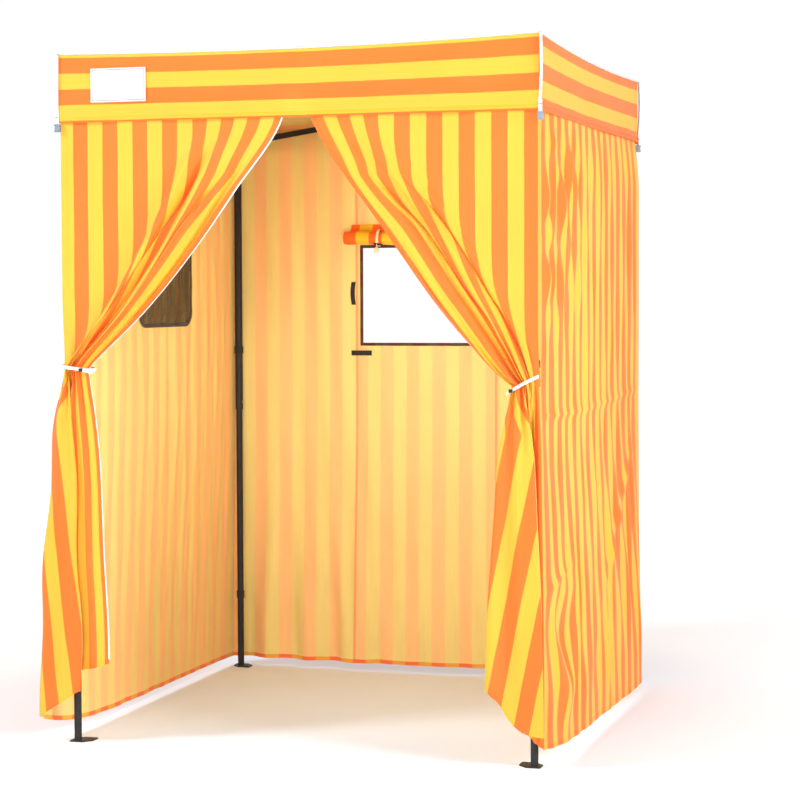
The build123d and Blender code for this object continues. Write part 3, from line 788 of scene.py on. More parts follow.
# the cloth below the tie, at the hem: place on the cut (0 corner, 1 free edge), x from the middle, y,
# height of the hem
FOLDS = {
    -1: [
        (0, 0.745, -0.668, 0.062), (0.03, 0.751, -0.682, 0.068), (0.07, 0.737, -0.703, 0.076),
        (0.14, 0.692, -0.7155, 0.104), (0.22, 0.640, -0.7135, 0.138), (0.25, 0.622, -0.708, 0.149),
        (0.262, 0.619, -0.7035, 0.150), (0.28, 0.628, -0.6990, 0.152), (0.37, 0.695, -0.6975, 0.165),
        (0.39, 0.704, -0.6950, 0.170), (0.41, 0.695, -0.6922, 0.170), (0.50, 0.642, -0.6920, 0.178),
        (0.515, 0.635, -0.6895, 0.180), (0.53, 0.644, -0.6870, 0.180), (0.63, 0.704, -0.6865, 0.190),
        (0.65, 0.711, -0.6838, 0.192), (0.67, 0.702, -0.6810, 0.194), (0.79, 0.624, -0.6830, 0.206),
        (0.88, 0.585, -0.6885, 0.213), (0.95, 0.560, -0.6860, 0.221), (1.0, 0.544, -0.6815, 0.227),
    ],
    1: [
        (0, 0.684, -0.676, 0.049), (0.03, 0.668, -0.6800, 0.060), (0.17, 0.590, -0.6800, 0.150),
        (0.19, 0.583, -0.6830, 0.155), (0.21, 0.590, -0.6860, 0.150), (0.35, 0.660, -0.6865, 0.095),
        (0.37, 0.668, -0.6892, 0.095), (0.39, 0.659, -0.6920, 0.097), (0.51, 0.595, -0.6925, 0.150),
        (0.53, 0.588, -0.6950, 0.155), (0.55, 0.595, -0.6978, 0.150), (0.68, 0.668, -0.6985, 0.088),
        (0.70, 0.689, -0.7010, 0.087), (0.715, 0.686, -0.7080, 0.088), (0.75, 0.664, -0.7120, 0.091),
        (0.80, 0.634, -0.7145, 0.101), (0.86, 0.601, -0.7140, 0.128), (0.92, 0.567, -0.7120, 0.176),
        (0.965, 0.538, -0.7080, 0.198), (0.985, 0.529, -0.7030, 0.212), (1.0, 0.531, -0.6985, 0.228),
    ],
}


CURTAIN_Y = 0.6745        # how far the curtains hang in front of the middle


def as_cut(side, a):
    """Place across the stripes; the left curtain's last stripes are a little wider."""
    return a - 0.037 + (0.012 * smooth((a - 0.45) / 0.2) if side < 0 else 0)


def curtain_above(side, a):
    """The curtain from the top to its tie: places, and the place across the cut cloth."""
    amax, tie, corner = a[-1], TIE_Z[side], CORNER_X[side]
    k = np.linspace(0, 1, 150)
    z = tie + (WALL_TOP - tie) * (1 - k) ** (1.25 if side < 0 else 1.5)
    A, Z = np.meshgrid(a, z, indexing="ij")
    edge = corner - curve(Z, *EDGE[side])
    bend = corner - curve(Z, *BEND[side])
    bend = np.minimum(bend, edge - 0.02)
    soft = 0.012
    over = soft * np.logaddexp(0, (A - bend) / soft)
    c = (edge - bend) / (amax - bend)
    place = A - (1 - c) * over
    place *= edge / place[-1:, :]
    # tucks take up cloth between the folds, more of it lower down
    u = np.clip((place - bend) / (edge - bend), 0, 1)
    taken = smooth((1.70 - Z) / 0.30)
    density, depth = np.ones_like(u), np.zeros_like(u)
    for at, half, share_hidden, deep in TUCK[side]:
        at = at + 0.03 * np.sin(Z * 7 + at * 9)
        density -= taken * share_hidden * np.exp(-np.abs((u - at) / half) ** 3)
        depth += taken * deep * np.exp(-((u - at) / (half * 0.72)) ** 2)
    if side < 0:      # the very edge lies open, so its last stripe shows wide
        density += 1.6 * taken * smooth((u - 0.965) / 0.02)
    density = np.maximum(density, 0.06)
    du = np.diff(u, axis=0, prepend=u[:1])
    travelled = np.cumsum(density * du, axis=0)
    drawn = travelled / np.maximum(travelled[-1:], 1e-9)
    wide = edge - bend
    panel_cloth = 0.145 if side > 0 else 0.085
    cloth_left = (1 - u) * (amax - bend)
    panel_share = np.minimum(panel_cloth / wide, 0.52 if side > 0 else 0.40) * taken
    even_share = panel_cloth / np.maximum(amax - bend, 1e-6)
    panel_share = np.maximum(panel_share, np.minimum(even_share, 1) * (1 - taken))
    cut = np.clip(1 - even_share, 0.02, 0.98)      # place on the drawn cloth where the panel starts
    at_cut = np.take_along_axis(drawn, np.argmin(np.abs(u - cut), axis=0)[None, :], 0)
    inner = np.clip(drawn / np.maximum(at_cut, 1e-6), 0, 1) * (1 - panel_share)
    outer = 1 - np.clip(cloth_left / panel_cloth, 0, 1) * panel_share
    shaped = np.where(u < cut, inner, outer)
    drawn = drawn * (1 - taken) + shaped * taken
    place = np.where(place > bend, bend + drawn * wide, place)
    if side > 0:      # the free edge turns under as it nears the tie
        under = 0.05 * smooth((1.66 - Z) / 0.25)
        back = np.maximum(A - (amax - under), 0)
        limit = np.minimum(place, edge)
        turn = 0.45 * back * (0.3 + 0.7 * c)
        place = limit - turn
        behind = smooth(back / 0.012)
    else:
        behind = 0.0
    grow = smooth((1.733 - Z) / (0.27 if side < 0 else 0.36))
    relief = 0.0310 if side < 0 else 0.0270
    tall = grow * relief * smooth((Z - tie) / 0.10 + 0.45)
    drift = 0.05 * np.sin(Z * 5.5 + side) + 0.02 * np.sin(Z * 13.0)
    w = np.clip(drawn + drift * drawn * (1 - drawn) * 2.2, 0, 1)
    fold = curve(w, *PLEAT[side]) * tall
    fine = np.sin(drawn * TAU * 8 + 2.0 * np.sin(Z * 9 + side)) * 0.0019 * grow * smooth(drawn / 0.15)
    tight = smooth((tie + 0.20 - Z) / 0.20)
    share = A / amax
    bundle = 0.017 * tight * np.sqrt(np.clip(1 - (2 * share - 1) ** 2, 0, 1))
    fine_tie = (0.0070 * tight * np.sin(share * TAU * 8.5 + 0.8) * smooth(share / 0.06)
        * smooth((1 - share) / 0.06))
    hang = (0.0012 * ripple(A, Z, 51 + side, 5.0, 0.6) * smooth((WALL_TOP - Z) / 0.2) * smooth(A / 0.05)
        * smooth((1.75 - Z) / 0.1))
    out = fold + fine + bundle + fine_tie + hang - 0.003 * behind * smooth((Z - tie) / 0.1)
    out = out - depth * (1 - 0.6 * tight)
    cx, cy = corner_line(side, Z)
    near = np.exp(-(A / 0.05) ** 1.5)
    x = (corner - place) + (cx - corner) * near
    y = -CURTAIN_Y - out + (cy + CURTAIN_Y) * near
    return x, y, Z, as_cut(side, A)


def curtain_below(side, a, rope_x, rope_y):
    """The curtain from its tie down: places, the hem's height and the place across the cut cloth."""
    amax, tie = a[-1], TIE_Z[side]
    t = a / amax
    knots = np.array(FOLDS[side])
    # round the folds a little: a smooth line through the knots
    bx, by, bz = (curve(t, knots[:, 0], knots[:, i]) for i in (1, 2, 3))
    k2 = np.linspace(0, 1, 151)[1:] ** 1.15
    hem_steps = 1 - HEM_ROWS[0] / (tie - 0.15)
    k2 = np.concatenate([k2[k2 < hem_steps - 0.003], [hem_steps, hem_steps + 0.0006, 1.0]])
    T, K = np.meshgrid(t, k2, indexing="ij")
    BX, BY, BZ = (np.repeat(b[:, None], len(k2), 1) for b in (bx, by, bz))
    Z2 = tie + (BZ - tie) * K
    g = curve(tie - Z2, DEPTH, OPENING)
    RX, RY = rope_x[:, None], rope_y[:, None]
    cx2, cy2 = corner_line(side, Z2)
    x_low = RX + (BX - RX) * g
    y_low = RY + (BY - RY) * g
    sway = 0.0045 * np.sin((tie - Z2) * TAU / 0.42) * smooth((tie - Z2) / 0.2) * (1 if side < 0 else 0)
    free = smooth((T - 0.66) / 0.2)
    x_low = x_low + sway * (1 - free * 0.6)
    # gentle pull lines that fade toward the hem
    body = smooth((tie - Z2) / 0.10)
    front = ((T < 0.262) if side < 0 else (T > 0.70)).astype(float)
    y_low -= (0.0028 * ripple(x_low, Z2, 61 + side, 9.0, 1.0) * body * smooth((Z2 - 0.1) / 0.2)
        * (0.35 + 0.65 * front))
    hidden = (smooth((T - 0.27) / 0.02) * smooth((0.66 - T) / 0.02) if side < 0
        else smooth((T - 0.02) / 0.03) * smooth((0.685 - T) / 0.02))
    y_low += 0.0085 * np.sin(x_low * math.pi / 0.014) ** 2 * hidden * body
    y_low += 0.0080 * hidden * smooth((tie - Z2) / 0.025) * smooth((Z2 - tie + 0.36) / 0.2)
    if side > 0:
        # a slim fold runs down beside the corner
        groove = np.exp(-((x_low - (0.650 + 0.012 * g)) / 0.008) ** 2) * smooth((Z2 - 0.50) / 0.25) * body
        y_low += 0.0035 * groove * front
        crease = (np.exp(-((x_low - (0.606 + 0.10 * (tie - Z2))) / 0.0060) ** 2)
            * smooth((Z2 - 0.84) / 0.08) * smooth((tie - Z2) / 0.03))
        y_low += 0.0050 * crease * front
    near2 = np.exp(-(T / 0.02) ** 1.5)
    x_low = x_low * (1 - near2) + cx2 * near2
    y_low = y_low * (1 - near2) + cy2 * near2
    if side < 0:
        panel = 0.11 + 0.118 * (Z2 - 0.15) - (x_low - 0.619)
        w1 = smooth((0.40 - T) / 0.14)
    else:
        panel = 1.068 - x_low + 0.2 * (Z2 - 0.2)
        w1 = smooth((T - 0.56) / 0.14)
    w1 = w1 * smooth((tie - Z2) / 0.14)
    return x_low, y_low, Z2, BZ, as_cut(side, T * amax) * (1 - w1) + panel * w1


def curtain(side):
    """A front curtain drawn aside to its tie, and the line of its free edge."""
    amax = A_MAX[side]
    a = np.linspace(0, amax, 420)
    x_up, y_up, z_up, s_up = curtain_above(side, a)
    x_low, y_low, z_low, hem, s_low = curtain_below(side, a, x_up[:, -1], y_up[:, -1])
    mid = np.concatenate([
        np.stack([side * x_up, y_up, z_up], 2),
        np.stack([side * x_low, y_low, z_low], 2)], 1)
    across = np.concatenate([s_up, s_low], 1)
    along = np.concatenate([z_up - 0.10, z_low - hem], 1)
    if side > 0:
        across = across + STRIPE     # the right curtain starts with orange at its corner
    doubled = np.maximum(hem_doubled(along),
        np.repeat(((amax - a) < 0.010).astype(float)[:, None], mid.shape[1], 1) * 0.5)
    name = "curtain_left_cloth" if side < 0 else "curtain_right_cloth"
    return cloth(name, mid, across, along, (0, -1, 0), doubled), mid[-1]


curtain_left, edge_left = curtain(-1)
curtain_right, edge_right = curtain(1)


def edge_tape(name, line, width=0.0034):
    """The white zip tape along a curtain's free edge, folded over it."""
    line = line[::3]
    tangent = np.gradient(line, axis=0)
    tangent /= np.linalg.norm(tangent, axis=1, keepdims=True)
    side = np.cross(tangent, (0, 1, 0))
    side /= np.linalg.norm(side, axis=1, keepdims=True)
    return ribbon(name, line + np.array([0, -0.0002, 0]), side, width, 0.0026, WHITE_TAPE)


tape_left = edge_tape("edge_tape_left", edge_left)
hidden_tape = edge_right.copy()
hidden_tape[:, 1] += 0.0022 * smooth((edge_right[:, 2] - 0.55) / 0.15)
hidden_tape[:, 0] += 0.0050 * smooth((edge_right[:, 2] - 0.55) / 0.15)
tape_right = edge_tape("edge_tape_right", hidden_tape)


# ---------------------------------------------------------------- ties
def tie(side):
    """A webbing loop round the gathered curtain and its leg, with a toggle and a loose end."""
    # slope: drop per metre away from the middle
    z0, slope = (1.0440, -0.13) if side < 0 else (1.0090, -0.54)
    cx, cy = (0.6285, -0.676) if side < 0 else (0.6345, -0.676)
    rx, ry = (0.0430, 0.046) if side < 0 else (0.0355, 0.045)
    pts, n = [], 48
    for k in range(n):
        ang = TAU * k / n
        c, s = math.cos(ang), math.sin(ang)
        x = cx + rx * math.copysign(abs(c) ** 0.8, c)
        y = cy + ry * math.copysign(abs(s) ** 0.8, s) * (1.0 if s > 0 else 0.93)
        pts.append((side * x, y, z0 - slope * (x - cx)))
    up = np.array([0.0, 0.0, 1.0])
    loop = ribbon("tie_loop", pts, up, 0.0092, 0.0016, WHITE_TAPE, closed=True)
    tx = 0.603 if side < 0 else 0.606
    tz = z0 - slope * (tx - cx)
    toggle = block("tie_toggle", (side * tx, -0.7225, tz - 0.001), (0.0105, 0.006, 0.0095), BLACK_TAPE,
        0.0018)
    tail = []
    reach = 0.034 if side < 0 else 0.012
    for k in np.linspace(0, 1, 14):
        x = tx - reach * k
        tail.append((side * x, -0.7215 - 0.004 * math.sin(k * 2.2) + 0.006 * k,
            tz - 0.002 - 0.008 * k ** 1.5))
    end = ribbon("tie_end", tail, up, 0.0065, 0.0014, WHITE_TAPE)
    return join("tie_left_strap" if side < 0 else "tie_right_strap", [loop, toggle, end])


tie_left, tie_right = tie(-1), tie(1)


# ---------------------------------------------------------------- canopy
def top_height(x, y):
    """Height of the canopy's edge line and of the roof between its edges."""
    u, v = x / ROOF_EDGE, y / ROOF_EDGE
    across, deep = (u + 1) / 2, (v + 1) / 2
    lift = (0.009 * across ** 3 * (1 - deep) ** 2 + 0.006 * across ** 3 * deep ** 3
        - 0.003 * (1 - across) ** 3 * (1 - deep) ** 3)
    return TOP - 0.0012 - SAG * (1 - u ** 2) - SAG * (1 - v ** 2) + lift


def corner_name(sx, sy):
    """The name of a corner, from the signs of its x and y."""
    return ("back" if sy > 0 else "front") + "_" + ("right" if sx > 0 else "left")


def roof_quarter(sx, sy):
    """A quarter of the roof, from its middle to one corner."""
    n = 46
    x, y = np.meshgrid(np.linspace(0, QUARTER, n), np.linspace(0, QUARTER, n), indexing="ij")
    pull = 0.0016 * np.sin((x - y) * 38) * np.exp(-((2 * QUARTER - x - y) / 0.34) ** 2)
    soft = 0.0012 * ripple(sx * x, sy * y, 71, 3.0, 3.0)
    inside = smooth((QUARTER - x) / 0.12) * smooth((QUARTER - y) / 0.12)
    z = top_height(sx * x, sy * y) + (pull + soft) * inside
    wide = right_lean(sy * y) * smooth((x - 0.2) / (QUARTER - 0.2)) * (sx > 0)
    mid = np.stack([sx * (x + wide), sy * y, z], 2)
    stripe_start, far_from_hem = 0.188, 0.3
    return cloth("roof_" + corner_name(sx, sy), mid, sy * y + QUARTER + stripe_start, far_from_hem + x * 0,
        (0, 0, 1), None)


QUARTERS = {(sx, sy): roof_quarter(sx, sy) for sx in (-1, 1) for sy in (-1, 1)}

VALANCE_HEIGHT = 0.1915
# where the stripes start, up from the valance's hem
LONG_WAY, SHORT_WAY = PERIOD - 0.005, PERIOD - 0.031
VALANCE_PHASE = {"front": LONG_WAY, "back": LONG_WAY, "left": SHORT_WAY, "right": SHORT_WAY}


def on_side(side, along, out):
    """x and y of a place on one side of the canopy, out from the middle."""
    return {"front": (along, -out), "back": (along, out), "left": (-out, along), "right": (out, along)}[side]


def half_name(side, end):
    """The name of one half of a side; end is -1 or 1 along the side."""
    ends = ("left", "right") if side in ("front", "back") else ("front", "back")
    return side + "_" + ends[end > 0]


def reach_of(side, end, plain):
    """Half the length of a side's edge: the right-hand halves follow the lean of the right edge."""
    if side in ("left", "right") or end < 0:
        return plain
    return plain + right_lean(-ROOF_EDGE if side == "front" else ROOF_EDGE)


def valance_half(side, end):
    """Half of one side's valance. end is -1 or 1 along the side's own axis."""
    na, nb = 96, 44
    a = np.linspace(0, reach_of(side, end, 0.6788), na) * end
    A, V = np.meshgrid(a, hem_rows(VALANCE_HEIGHT, nb), indexing="ij")
    top = top_height(*on_side(side, A, A * 0 + ROOF_EDGE))
    low = VALANCE_LOW + 0.0006
    if side == "right":
        low = low + 0.007 * smooth((A + 0.1) / 0.78)
    Z = low + (top - low) * V / VALANCE_HEIGHT
    seed = {"front": 81, "back": 84, "left": 87, "right": 90}[side]
    free = smooth((top - Z) / 0.15)
    inside = smooth((ROOF_EDGE - np.abs(A)) / 0.05)
    out = 0.0016 * ripple(A, Z, seed, 3.0, 2.0) * free * (0.3 + 0.7 * inside)
    out += 0.0013 * np.sin(Z * 60 + A * 25) * bump(np.abs(A), 0.62, 0.09) * free * inside
    N = 0.6786 + out + 0.0025 * free
    if side == "right":
        N = N + right_lean(A) * (1 - 0.3 * free * smooth((A - 0.2) / 0.4))
    mid = np.stack([*on_side(side, A, N), Z], 2)
    outward = (*on_side(side, 0, 1), 0)
    return cloth("valance_" + half_name(side, end), mid, -(V + VALANCE_PHASE[side]), V, outward,
        hem_doubled(V))


VALANCE = {(s, e): valance_half(s, e) for s in SIDES for e in (-1, 1)}


def edge_piping(side, end):
    """The cord-like piping sewn along half of one canopy edge."""
    a = np.linspace(0, reach_of(side, end, 0.6795), 40) * end
    z = top_height(*on_side(side, a, a * 0 + ROOF_EDGE)) + 0.0006
    n = np.full_like(a, 0.6800)
    if side == "right":
        n = n + right_lean(a)
    return tube("piping_" + half_name(side, end), np.stack([*on_side(side, a, n), z], 1), 0.0026, PIPING)


PIPES = {(s, e): edge_piping(s, e) for s in SIDES for e in (-1, 1)}


def corner_trim(sx, sy):
    """The white tape down a canopy corner, with its short strap and buckle."""
    top, bottom, buckle_z = 1.9075, 1.738, 1.7035
    k = np.linspace(0, 1, 22)
    z = top - (top - bottom) * k
    bow = 0.0022 * np.sin(k * math.pi) - 0.003 * k ** 3
    r = 0.6830 + bow
    path = np.stack([sx * r, sy * r, z], 1)
    across = np.array([sx, -sy, 0]) / math.sqrt(2)
    band = ribbon("corner_band", path, across, 0.0085, 0.0022, PIPING)
    low = np.stack([0 * k + sx * 0.6815, 0 * k + sy * 0.6815, 1.744 - 0.034 * k], 1)
    strap = ribbon("corner_strap", low, across, 0.0110, 0.0020, WHITE_TAPE)
    stitch = block("corner_stitch", (sx * 0.6832, sy * 0.6832, 1.7325), (0.0075, 0.0075, 0.0012),
        RED_THREAD, 0.0004, 1)
    bars = [
        block("buckle_bar", (sx * 0.6826, sy * 0.6826, buckle_z + dz), (0.0150, 0.0150, 0.0045), ACETAL,
            0.0012)
        for dz in (0.0085, -0.0085)]
    body = block("buckle_body", (sx * 0.6818, sy * 0.6818, buckle_z), (0.0135, 0.0135, 0.0190), ACETAL, 0.002)
    trim = join("corner_trim_" + corner_name(sx, sy), [band, strap, stitch, body] + bars)
    if sx > 0:      # the right corners lean and sit higher
        lift = top_height(ROOF_EDGE, sy * ROOF_EDGE) - top_height(-ROOF_EDGE, ROOF_EDGE)
        for v in trim.data.vertices:
            v.co.x += right_lean(sy * ROOF_EDGE) * 0.9
            v.co.z += lift * max(0.0, min(1.0, (v.co.z - 1.72) / 0.1))
    return trim


RED_THREAD = webbing("red_thread", rgb(0.75, 0.25, 0.2), 0.001)
TRIMS = {(sx, sy): corner_trim(sx, sy) for sx in (-1, 1) for sy in (-1, 1)}


def label():
    """A plain white patch, sewn on with a border of dark stitches."""
    x0, x1, z0, z1 = -0.582, -0.420, 1.771, 1.863
    nx, nz = 40, 24
    X, Z = np.meshgrid(np.linspace(x0, x1, nx), np.linspace(z0, z1, nz), indexing="ij")
    mid = np.stack([X, np.full_like(X, -0.6828) - 0.0006 * np.sin(X * 70), Z], 2)
    patch = cloth("label_sheet", mid, X, Z, (0, -1, 0), None, thick=0.0012, mats=[LABEL, LABEL])
    bits = [patch]
    inset, stitch_step = 0.0045, 0.0060
    xa, xb, za, zb = x0 + inset, x1 - inset, z0 + inset, z1 - inset
    rows = [((xa, za), (xb, za)), ((xa, zb), (xb, zb)), ((xa, za), (xa, zb)), ((xb, za), (xb, zb))]
    for (ax, az), (bx, bz) in rows:
        count = int(math.hypot(bx - ax, bz - az) / stitch_step)
        for i in range(count):
            k0, k1 = (i + 0.15) / count, (i + 0.75) / count
            thread = []
            for k in (k0, (k0 + k1) / 2, k1):
                x = ax + (bx - ax) * k
                thread.append((x, -0.6836 - 0.0006 * math.sin(x * 70), az + (bz - az) * k))
            bits.append(tube("stitch", thread, 0.0010, LABEL_THREAD, sides=5))
    return join("label_patch", bits)


label_patch = label()


# ---------------------------------------------------------------- mesh pocket
def pocket():
    """The mesh pocket on the left wall and the black tape round it."""
    y0, y1, z0, z1 = -0.150, 0.265, 1.152, 1.378
    ny, nz = 90, 60
    y, z = np.meshgrid(np.linspace(y0, y1, ny), np.linspace(z0, z1, nz), indexing="ij")
    u, v = (y - y0) / (y1 - y0), (z - z0) / (z1 - z0)
    edge = np.minimum(np.minimum(u, 1 - u) * (y1 - y0), v * (z1 - z0))
    belly = (0.0035 + 0.0085 * smooth(edge / 0.055) * (0.75 + 0.25 * v)
        + 0.0016 * np.sin(u * 34 + v * 3) * smooth(edge / 0.05))
    # round the two lower corners by drawing them in
    r = 0.045
    yc = np.clip(y, y0 + r, y1 - r)
    zc = np.maximum(z, z0 + r)
    dy, dz = y - yc, z - zc
    corner = (dy != 0) & (dz < 0)
    d = np.maximum(np.hypot(dy, dz), 1e-9)
    m = np.maximum(np.abs(dy), np.abs(dz))
    f = np.where(corner, m / d, 1.0)
    y2, z2 = yc + dy * f, zc + dz * f
    x = -(0.6722 - belly)
    net = cloth("pocket_net_sheet", np.stack([x, y2, z2], 2), y, z, (1, 0, 0), None, thick=0.0010,
        mats=[NET, NET])
    # the tape that binds its sides and foot, and the elastic at its mouth
    path = []
    for k in np.linspace(z1, z0 + r, 16):
        path.append((y0, k))
    for k in np.linspace(0, math.pi / 2, 10)[1:]:
        path.append((y0 + r - r * math.cos(k), z0 + r - r * math.sin(k)))
    for k in np.linspace(y0 + r, y1 - r, 26)[1:]:
        path.append((k, z0))
    for k in np.linspace(0, math.pi / 2, 10)[1:]:
        path.append((y1 - r + r * math.sin(k), z0 + r - r * math.cos(k)))
    for k in np.linspace(z0 + r, z1, 16)[1:]:
        path.append((y1, k))
    path = np.array(path)
    line = np.stack([np.full(len(path), -0.6690) + 0.0006 * np.sin(np.arange(len(path)) * 0.7), path[:, 0],
        path[:, 1]], 1)
    tan = np.gradient(line, axis=0)
    tan /= np.linalg.norm(tan, axis=1, keepdims=True)
    wide = np.cross(tan, (1, 0, 0))
    tape = ribbon("pocket_tape", line, wide, 0.0125, 0.0024, BLACK_TAPE)
    mouth = np.stack([np.full(40, -0.6600) - 0.0075 * np.abs(np.linspace(-1, 1, 40)) ** 6,
        np.linspace(y0, y1, 40), np.full(40, z1 - 0.004)], 1)
    elastic = ribbon("pocket_elastic", mouth, (0, 0, 1), 0.012, 0.0022, BLACK_TAPE)
    return net, join("pocket_binding", [tape, elastic])


pocket_net, pocket_binding = pocket()


# ---------------------------------------------------------------- touch tape, toggles and leg straps
def tape_patch(x, z, w, h, bow=0.0):
    """A strip of touch tape on the back wall, upright or level, whichever its size says."""
    k = np.linspace(-1, 1, 12)
    if h > w:
        path = np.stack([x - bow * (1 - k ** 2), np.full(12, 0.0), z + k * h / 2], 1)
        wide, width = (1, 0, 0), w
    else:
        path = np.stack([x + k * w / 2, np.full(12, 0.0), np.full(12, z)], 1)
        wide, width = (0, 0, 1), h
    path[:, 1] = back_surface(path[:, 0], path[:, 2]) - 0.0022
    return ribbon("touch_tape", path, wide, width, 0.0026, BLACK_TAPE)


patches = join("touch_tape_patches", [
    tape_patch(-0.256, 1.2485, 0.0145, 0.075, 0.004),
    tape_patch(0.256, 1.2485, 0.0145, 0.075, -0.004),
    tape_patch(-0.230, 1.052, 0.070, 0.0165),
    tape_patch(0.230, 1.052, 0.070, 0.0165)])


def roll_strap(x):
    """The elastic that holds the rolled cover, with its cream toggle below."""
    ring, n, round_it = [], 30, 0.0272
    for k in range(n):
        c, s = math.cos(TAU * k / n), math.sin(TAU * k / n)
        ring.append((x + 0.002 * s, ROLL_Y + round_it * c, ROLL_Z - 0.003 + round_it * s))
    loop = ribbon("roll_loop", ring, (1, 0, 0), 0.009, 0.0016, CREAM, closed=True)
    band_path = [(x + d, 0.6225 + 6 * d * d, 1.4080 - 0.15 * d) for d in np.linspace(-0.012, 0.018, 8)]
    dark = ribbon("roll_band", band_path, (0, 0.3, 0.95), 0.006, 0.003, BLACK_TAPE)
    drop = [(x - 0.002, 0.6215, 1.4090 - 0.010 * k) for k in np.linspace(0, 1, 6)]
    cord = tube("roll_drop", drop, 0.0016, CREAM, 8, up=(0, 1, 0))
    bead_path = np.array([(x - 0.002, 0.6205, 1.399 - 0.020 * k) for k in np.linspace(0, 1, 12)])
    rad = 0.0025 + 0.0055 * np.sqrt(np.clip(1 - (2 * np.linspace(0, 1, 12) - 1) ** 2, 0, 1))
    bead = tube("roll_bead", bead_path, rad, CREAM, 14, up=(0, 1, 0))
    return [loop, dark, cord, bead]


roll_straps = join("window_cover_ties", roll_strap(-0.159) + roll_strap(0.159))


def leg_strap(sx, sy, z, r, name):
    """A touch-tape band round a leg, sewn to the corner seam, with its overlapping end."""
    pts, n = [], 44
    for k in range(n):
        ang = TAU * 1.15 * k / (n - 1) + 0.4
        rr = r + 0.0016 + 0.0019 * smooth(np.array((k - n * 0.84) / 6.0)).item()
        pts.append((sx * (LEG + rr * math.cos(ang)), sy * (LEG + rr * math.sin(ang)), z + 0.0004 * k / n))
    band = ribbon("band", pts, (0, 0, 1), 0.024, 0.0018, BLACK_TAPE)
    start = LEG + (r + 0.0005) * 0.72
    tab_path = [(sx * (start + d), sy * (start + d), z) for d in np.linspace(0, 0.0105, 5)]
    tab = ribbon("tab", tab_path, (0, 0, 1), 0.020, 0.0016, BLACK_TAPE)
    return join(name, [band, tab])


STRAPS = {}
for sx in (-1, 1):
    for sy in (-1, 1):
        corner = corner_name(sx, sy)
        for body, z, r, level in (("leg_", 1.0610, 0.0125, "_upper"),
                ("lower_leg_", 0.2400, 0.0105, "_lower")):
            STRAPS[body + corner] = leg_strap(sx, sy, z, r, "leg_strap_" + corner + level)

# ---------------------------------------------------------------- what rides on what
for piece, place, slot, node in (
        (wall_back, "back", "striped_cloth", "wall_back"),
        (window_binding, "back", "striped_cloth", None),
        (window_roll, "back", "striped_cloth", "window_cover"),
        (window_flap, "back", "striped_cloth", None),
        (patches, "back", "touch_tape", None),
        (roll_straps, "back", "webbing", None),
        (wall_left, "left", "striped_cloth", "wall_left"),
        (pocket_net, "left", "mesh", "mesh_pocket"),
        (pocket_binding, "left", "mesh", None),
        (wall_right, "right", "striped_cloth", "wall_right"),
        (curtain_left, "front_left", "striped_cloth", "curtain_left"),
        (tape_left, "front_left", "webbing", None),
        (tie_left, "front_left", "webbing", "tie_left"),
        (curtain_right, "front_right", "striped_cloth", "curtain_right"),
        (tape_right, "front_right", "webbing", None),
        (tie_right, "front_right", "webbing", "tie_right")):
    gather(piece, place)
    if node:
        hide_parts(node)

for (sx, sy), piece in QUARTERS.items():
    on_bar(piece, corner_name(sx, sy).replace("_", "_top_bar_"))
    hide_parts("roof")
for table, slot in ((VALANCE, "striped_cloth"), (PIPES, "webbing")):
    for (side, e), piece in table.items():
        on_bar(piece, half_name(side, e).replace("_", "_top_bar_"))
        if table is VALANCE:
            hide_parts(f"valance_{side}")
on_bar(label_patch, "front_top_bar_left")
for (sx, sy), piece in TRIMS.items():
    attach(piece, "leg_" + corner_name(sx, sy))
    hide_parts("corner_buckles")
for body, piece in STRAPS.items():
    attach(piece, body)
    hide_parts("leg_straps")

# ---------------------------------------------------------------- floor, light and camera
def studio_floor():
    """White floor with painted shade under the tent, a little darker and cooler there to cancel the warm
    light bounced off the cloth; it fades into the backdrop far away.
    """
    n = Nodes("studio_floor")
    spots = n.noise(n.object_coords(), 3.0)
    length = n.add("ShaderNodeVectorMath", operation="LENGTH")
    n.link(n.object_coords(), length.inputs[0])
    reach = length.outputs["Value"]
    white = n.mix(spots, rgb(0.965, 0.965, 0.965), rgb(0.975, 0.975, 0.975))
    # painted shade: the floor is darker and cooler within about a metre of the middle, under the tent
    col = n.mix(n.ramp(reach, 0.6, 1.6), rgb(0.84, 0.89, 0.95), white)
    look = n.principled(Base_Color=col, Roughness=0.9)
    look.inputs["Emission Color"].default_value = (1, 1, 1, 1)
    n.link(n.ramp(reach, 1.2, 5.0, 0.0, 0.42), look.inputs["Emission Strength"])
    return n.finish(look.outputs[0])


span = 40.0
floor = make_object("studio_floor", [(-span, -span, 0), (span, -span, 0), (span, span, 0), (-span, span, 0)],
    [[0, 1, 2, 3]], [studio_floor()])
floor.location.z = -0.0003

world = bpy.data.worlds.new("studio")
bpy.context.scene.world = world
world.use_nodes = True
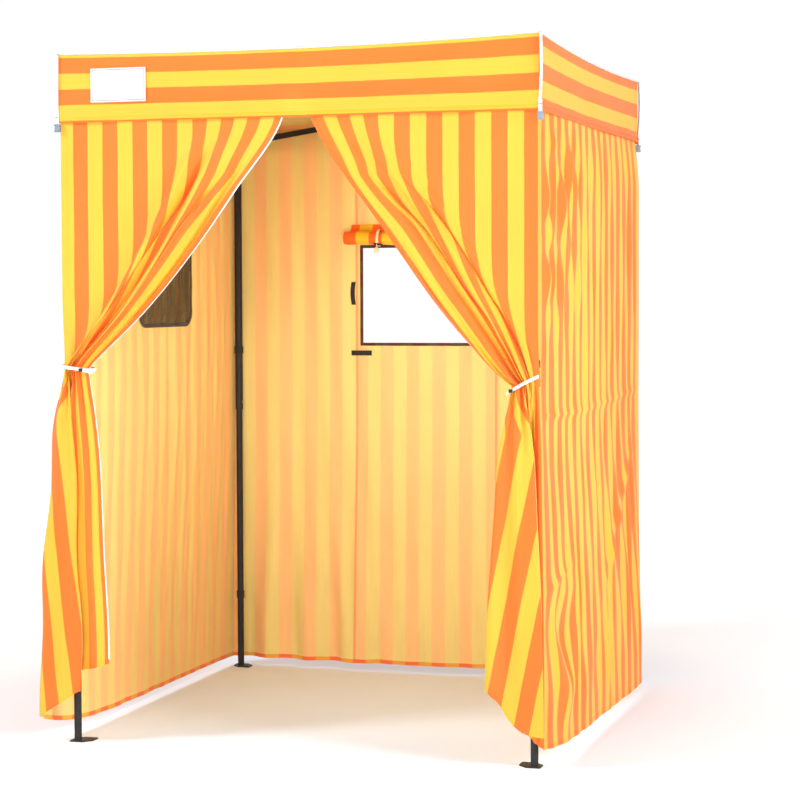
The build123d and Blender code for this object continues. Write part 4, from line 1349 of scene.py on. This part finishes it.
# a bright backdrop behind the tent, a dimmer studio in front of it
wt = world.node_tree
way = wt.nodes.new("ShaderNodeSeparateXYZ")
wt.links.new(wt.nodes.new("ShaderNodeTexCoord").outputs["Generated"], way.inputs[0])
glow = wt.nodes.new("ShaderNodeMapRange")
glow.interpolation_type = "SMOOTHSTEP"
for i, value in ((1, -0.2), (2, 0.6), (3, 0.42), (4, 1.03)):
    glow.inputs[i].default_value = value
wt.links.new(way.outputs[1], glow.inputs[0])
wt.nodes["Background"].inputs[0].default_value = (1.0, 1.0, 1.0, 1.0)
wt.links.new(glow.outputs[0], wt.nodes["Background"].inputs[1])


def area_light(name, place, target, size, power):
    data = bpy.data.lights.new(name, "AREA")
    data.shape = "RECTANGLE"
    data.size, data.size_y = size
    data.energy = power
    obj = bpy.data.objects.new(name, data)
    bpy.context.scene.collection.objects.link(obj)
    obj.location = place
    obj.rotation_euler = (Vector(target) - Vector(place)).to_track_quat("-Z", "Y").to_euler()
    return obj


area_light("key", (-5.0, -4.2, 4.5), (0, -0.4, 1.0), (1.6, 1.6), 350)
area_light("side", (5.5, -2.5, 3.0), (0.6, 0, 0.9), (2.0, 2.0), 335)
area_light("front", (0.2, -6.5, 1.3), (0.0, 0.6, 0.8), (2.0, 1.6), 190)

lamp = bpy.data.lights.new("inside", "POINT")
lamp.energy = 13.0
lamp.shadow_soft_size = 0.28
inside_lamp = bpy.data.objects.new("inside", lamp)
bpy.context.scene.collection.objects.link(inside_lamp)
inside_lamp.location = (0.05, -0.10, 1.08)
inside_lamp.visible_camera = False

scene = bpy.context.scene
scene.view_settings.view_transform = "Standard"
scene.view_settings.look = "None"

camera_data = bpy.data.cameras.new("camera")
camera_data.sensor_width = 36.0
camera_data.lens = 98.87
camera_data.clip_end = 200.0
camera = bpy.data.objects.new("camera", camera_data)
scene.collection.objects.link(camera)
yaw, pitch, roll = -0.283335, -0.0471683, -0.00362105     # radians
camera_place = (1.91818, -6.25211, 1.23835)
ahead = Vector((math.sin(yaw) * math.cos(pitch), math.cos(yaw) * math.cos(pitch), math.sin(pitch)))
right = Vector((math.cos(yaw), -math.sin(yaw), 0.0))
up = right.cross(ahead)
rolled_right = right * math.cos(roll) + up * math.sin(roll)
rolled_up = -right * math.sin(roll) + up * math.cos(roll)
basis = Matrix((rolled_right, rolled_up, -ahead)).transposed()
camera.matrix_world = Matrix.Translation(camera_place) @ basis.to_4x4()
scene.camera = camera
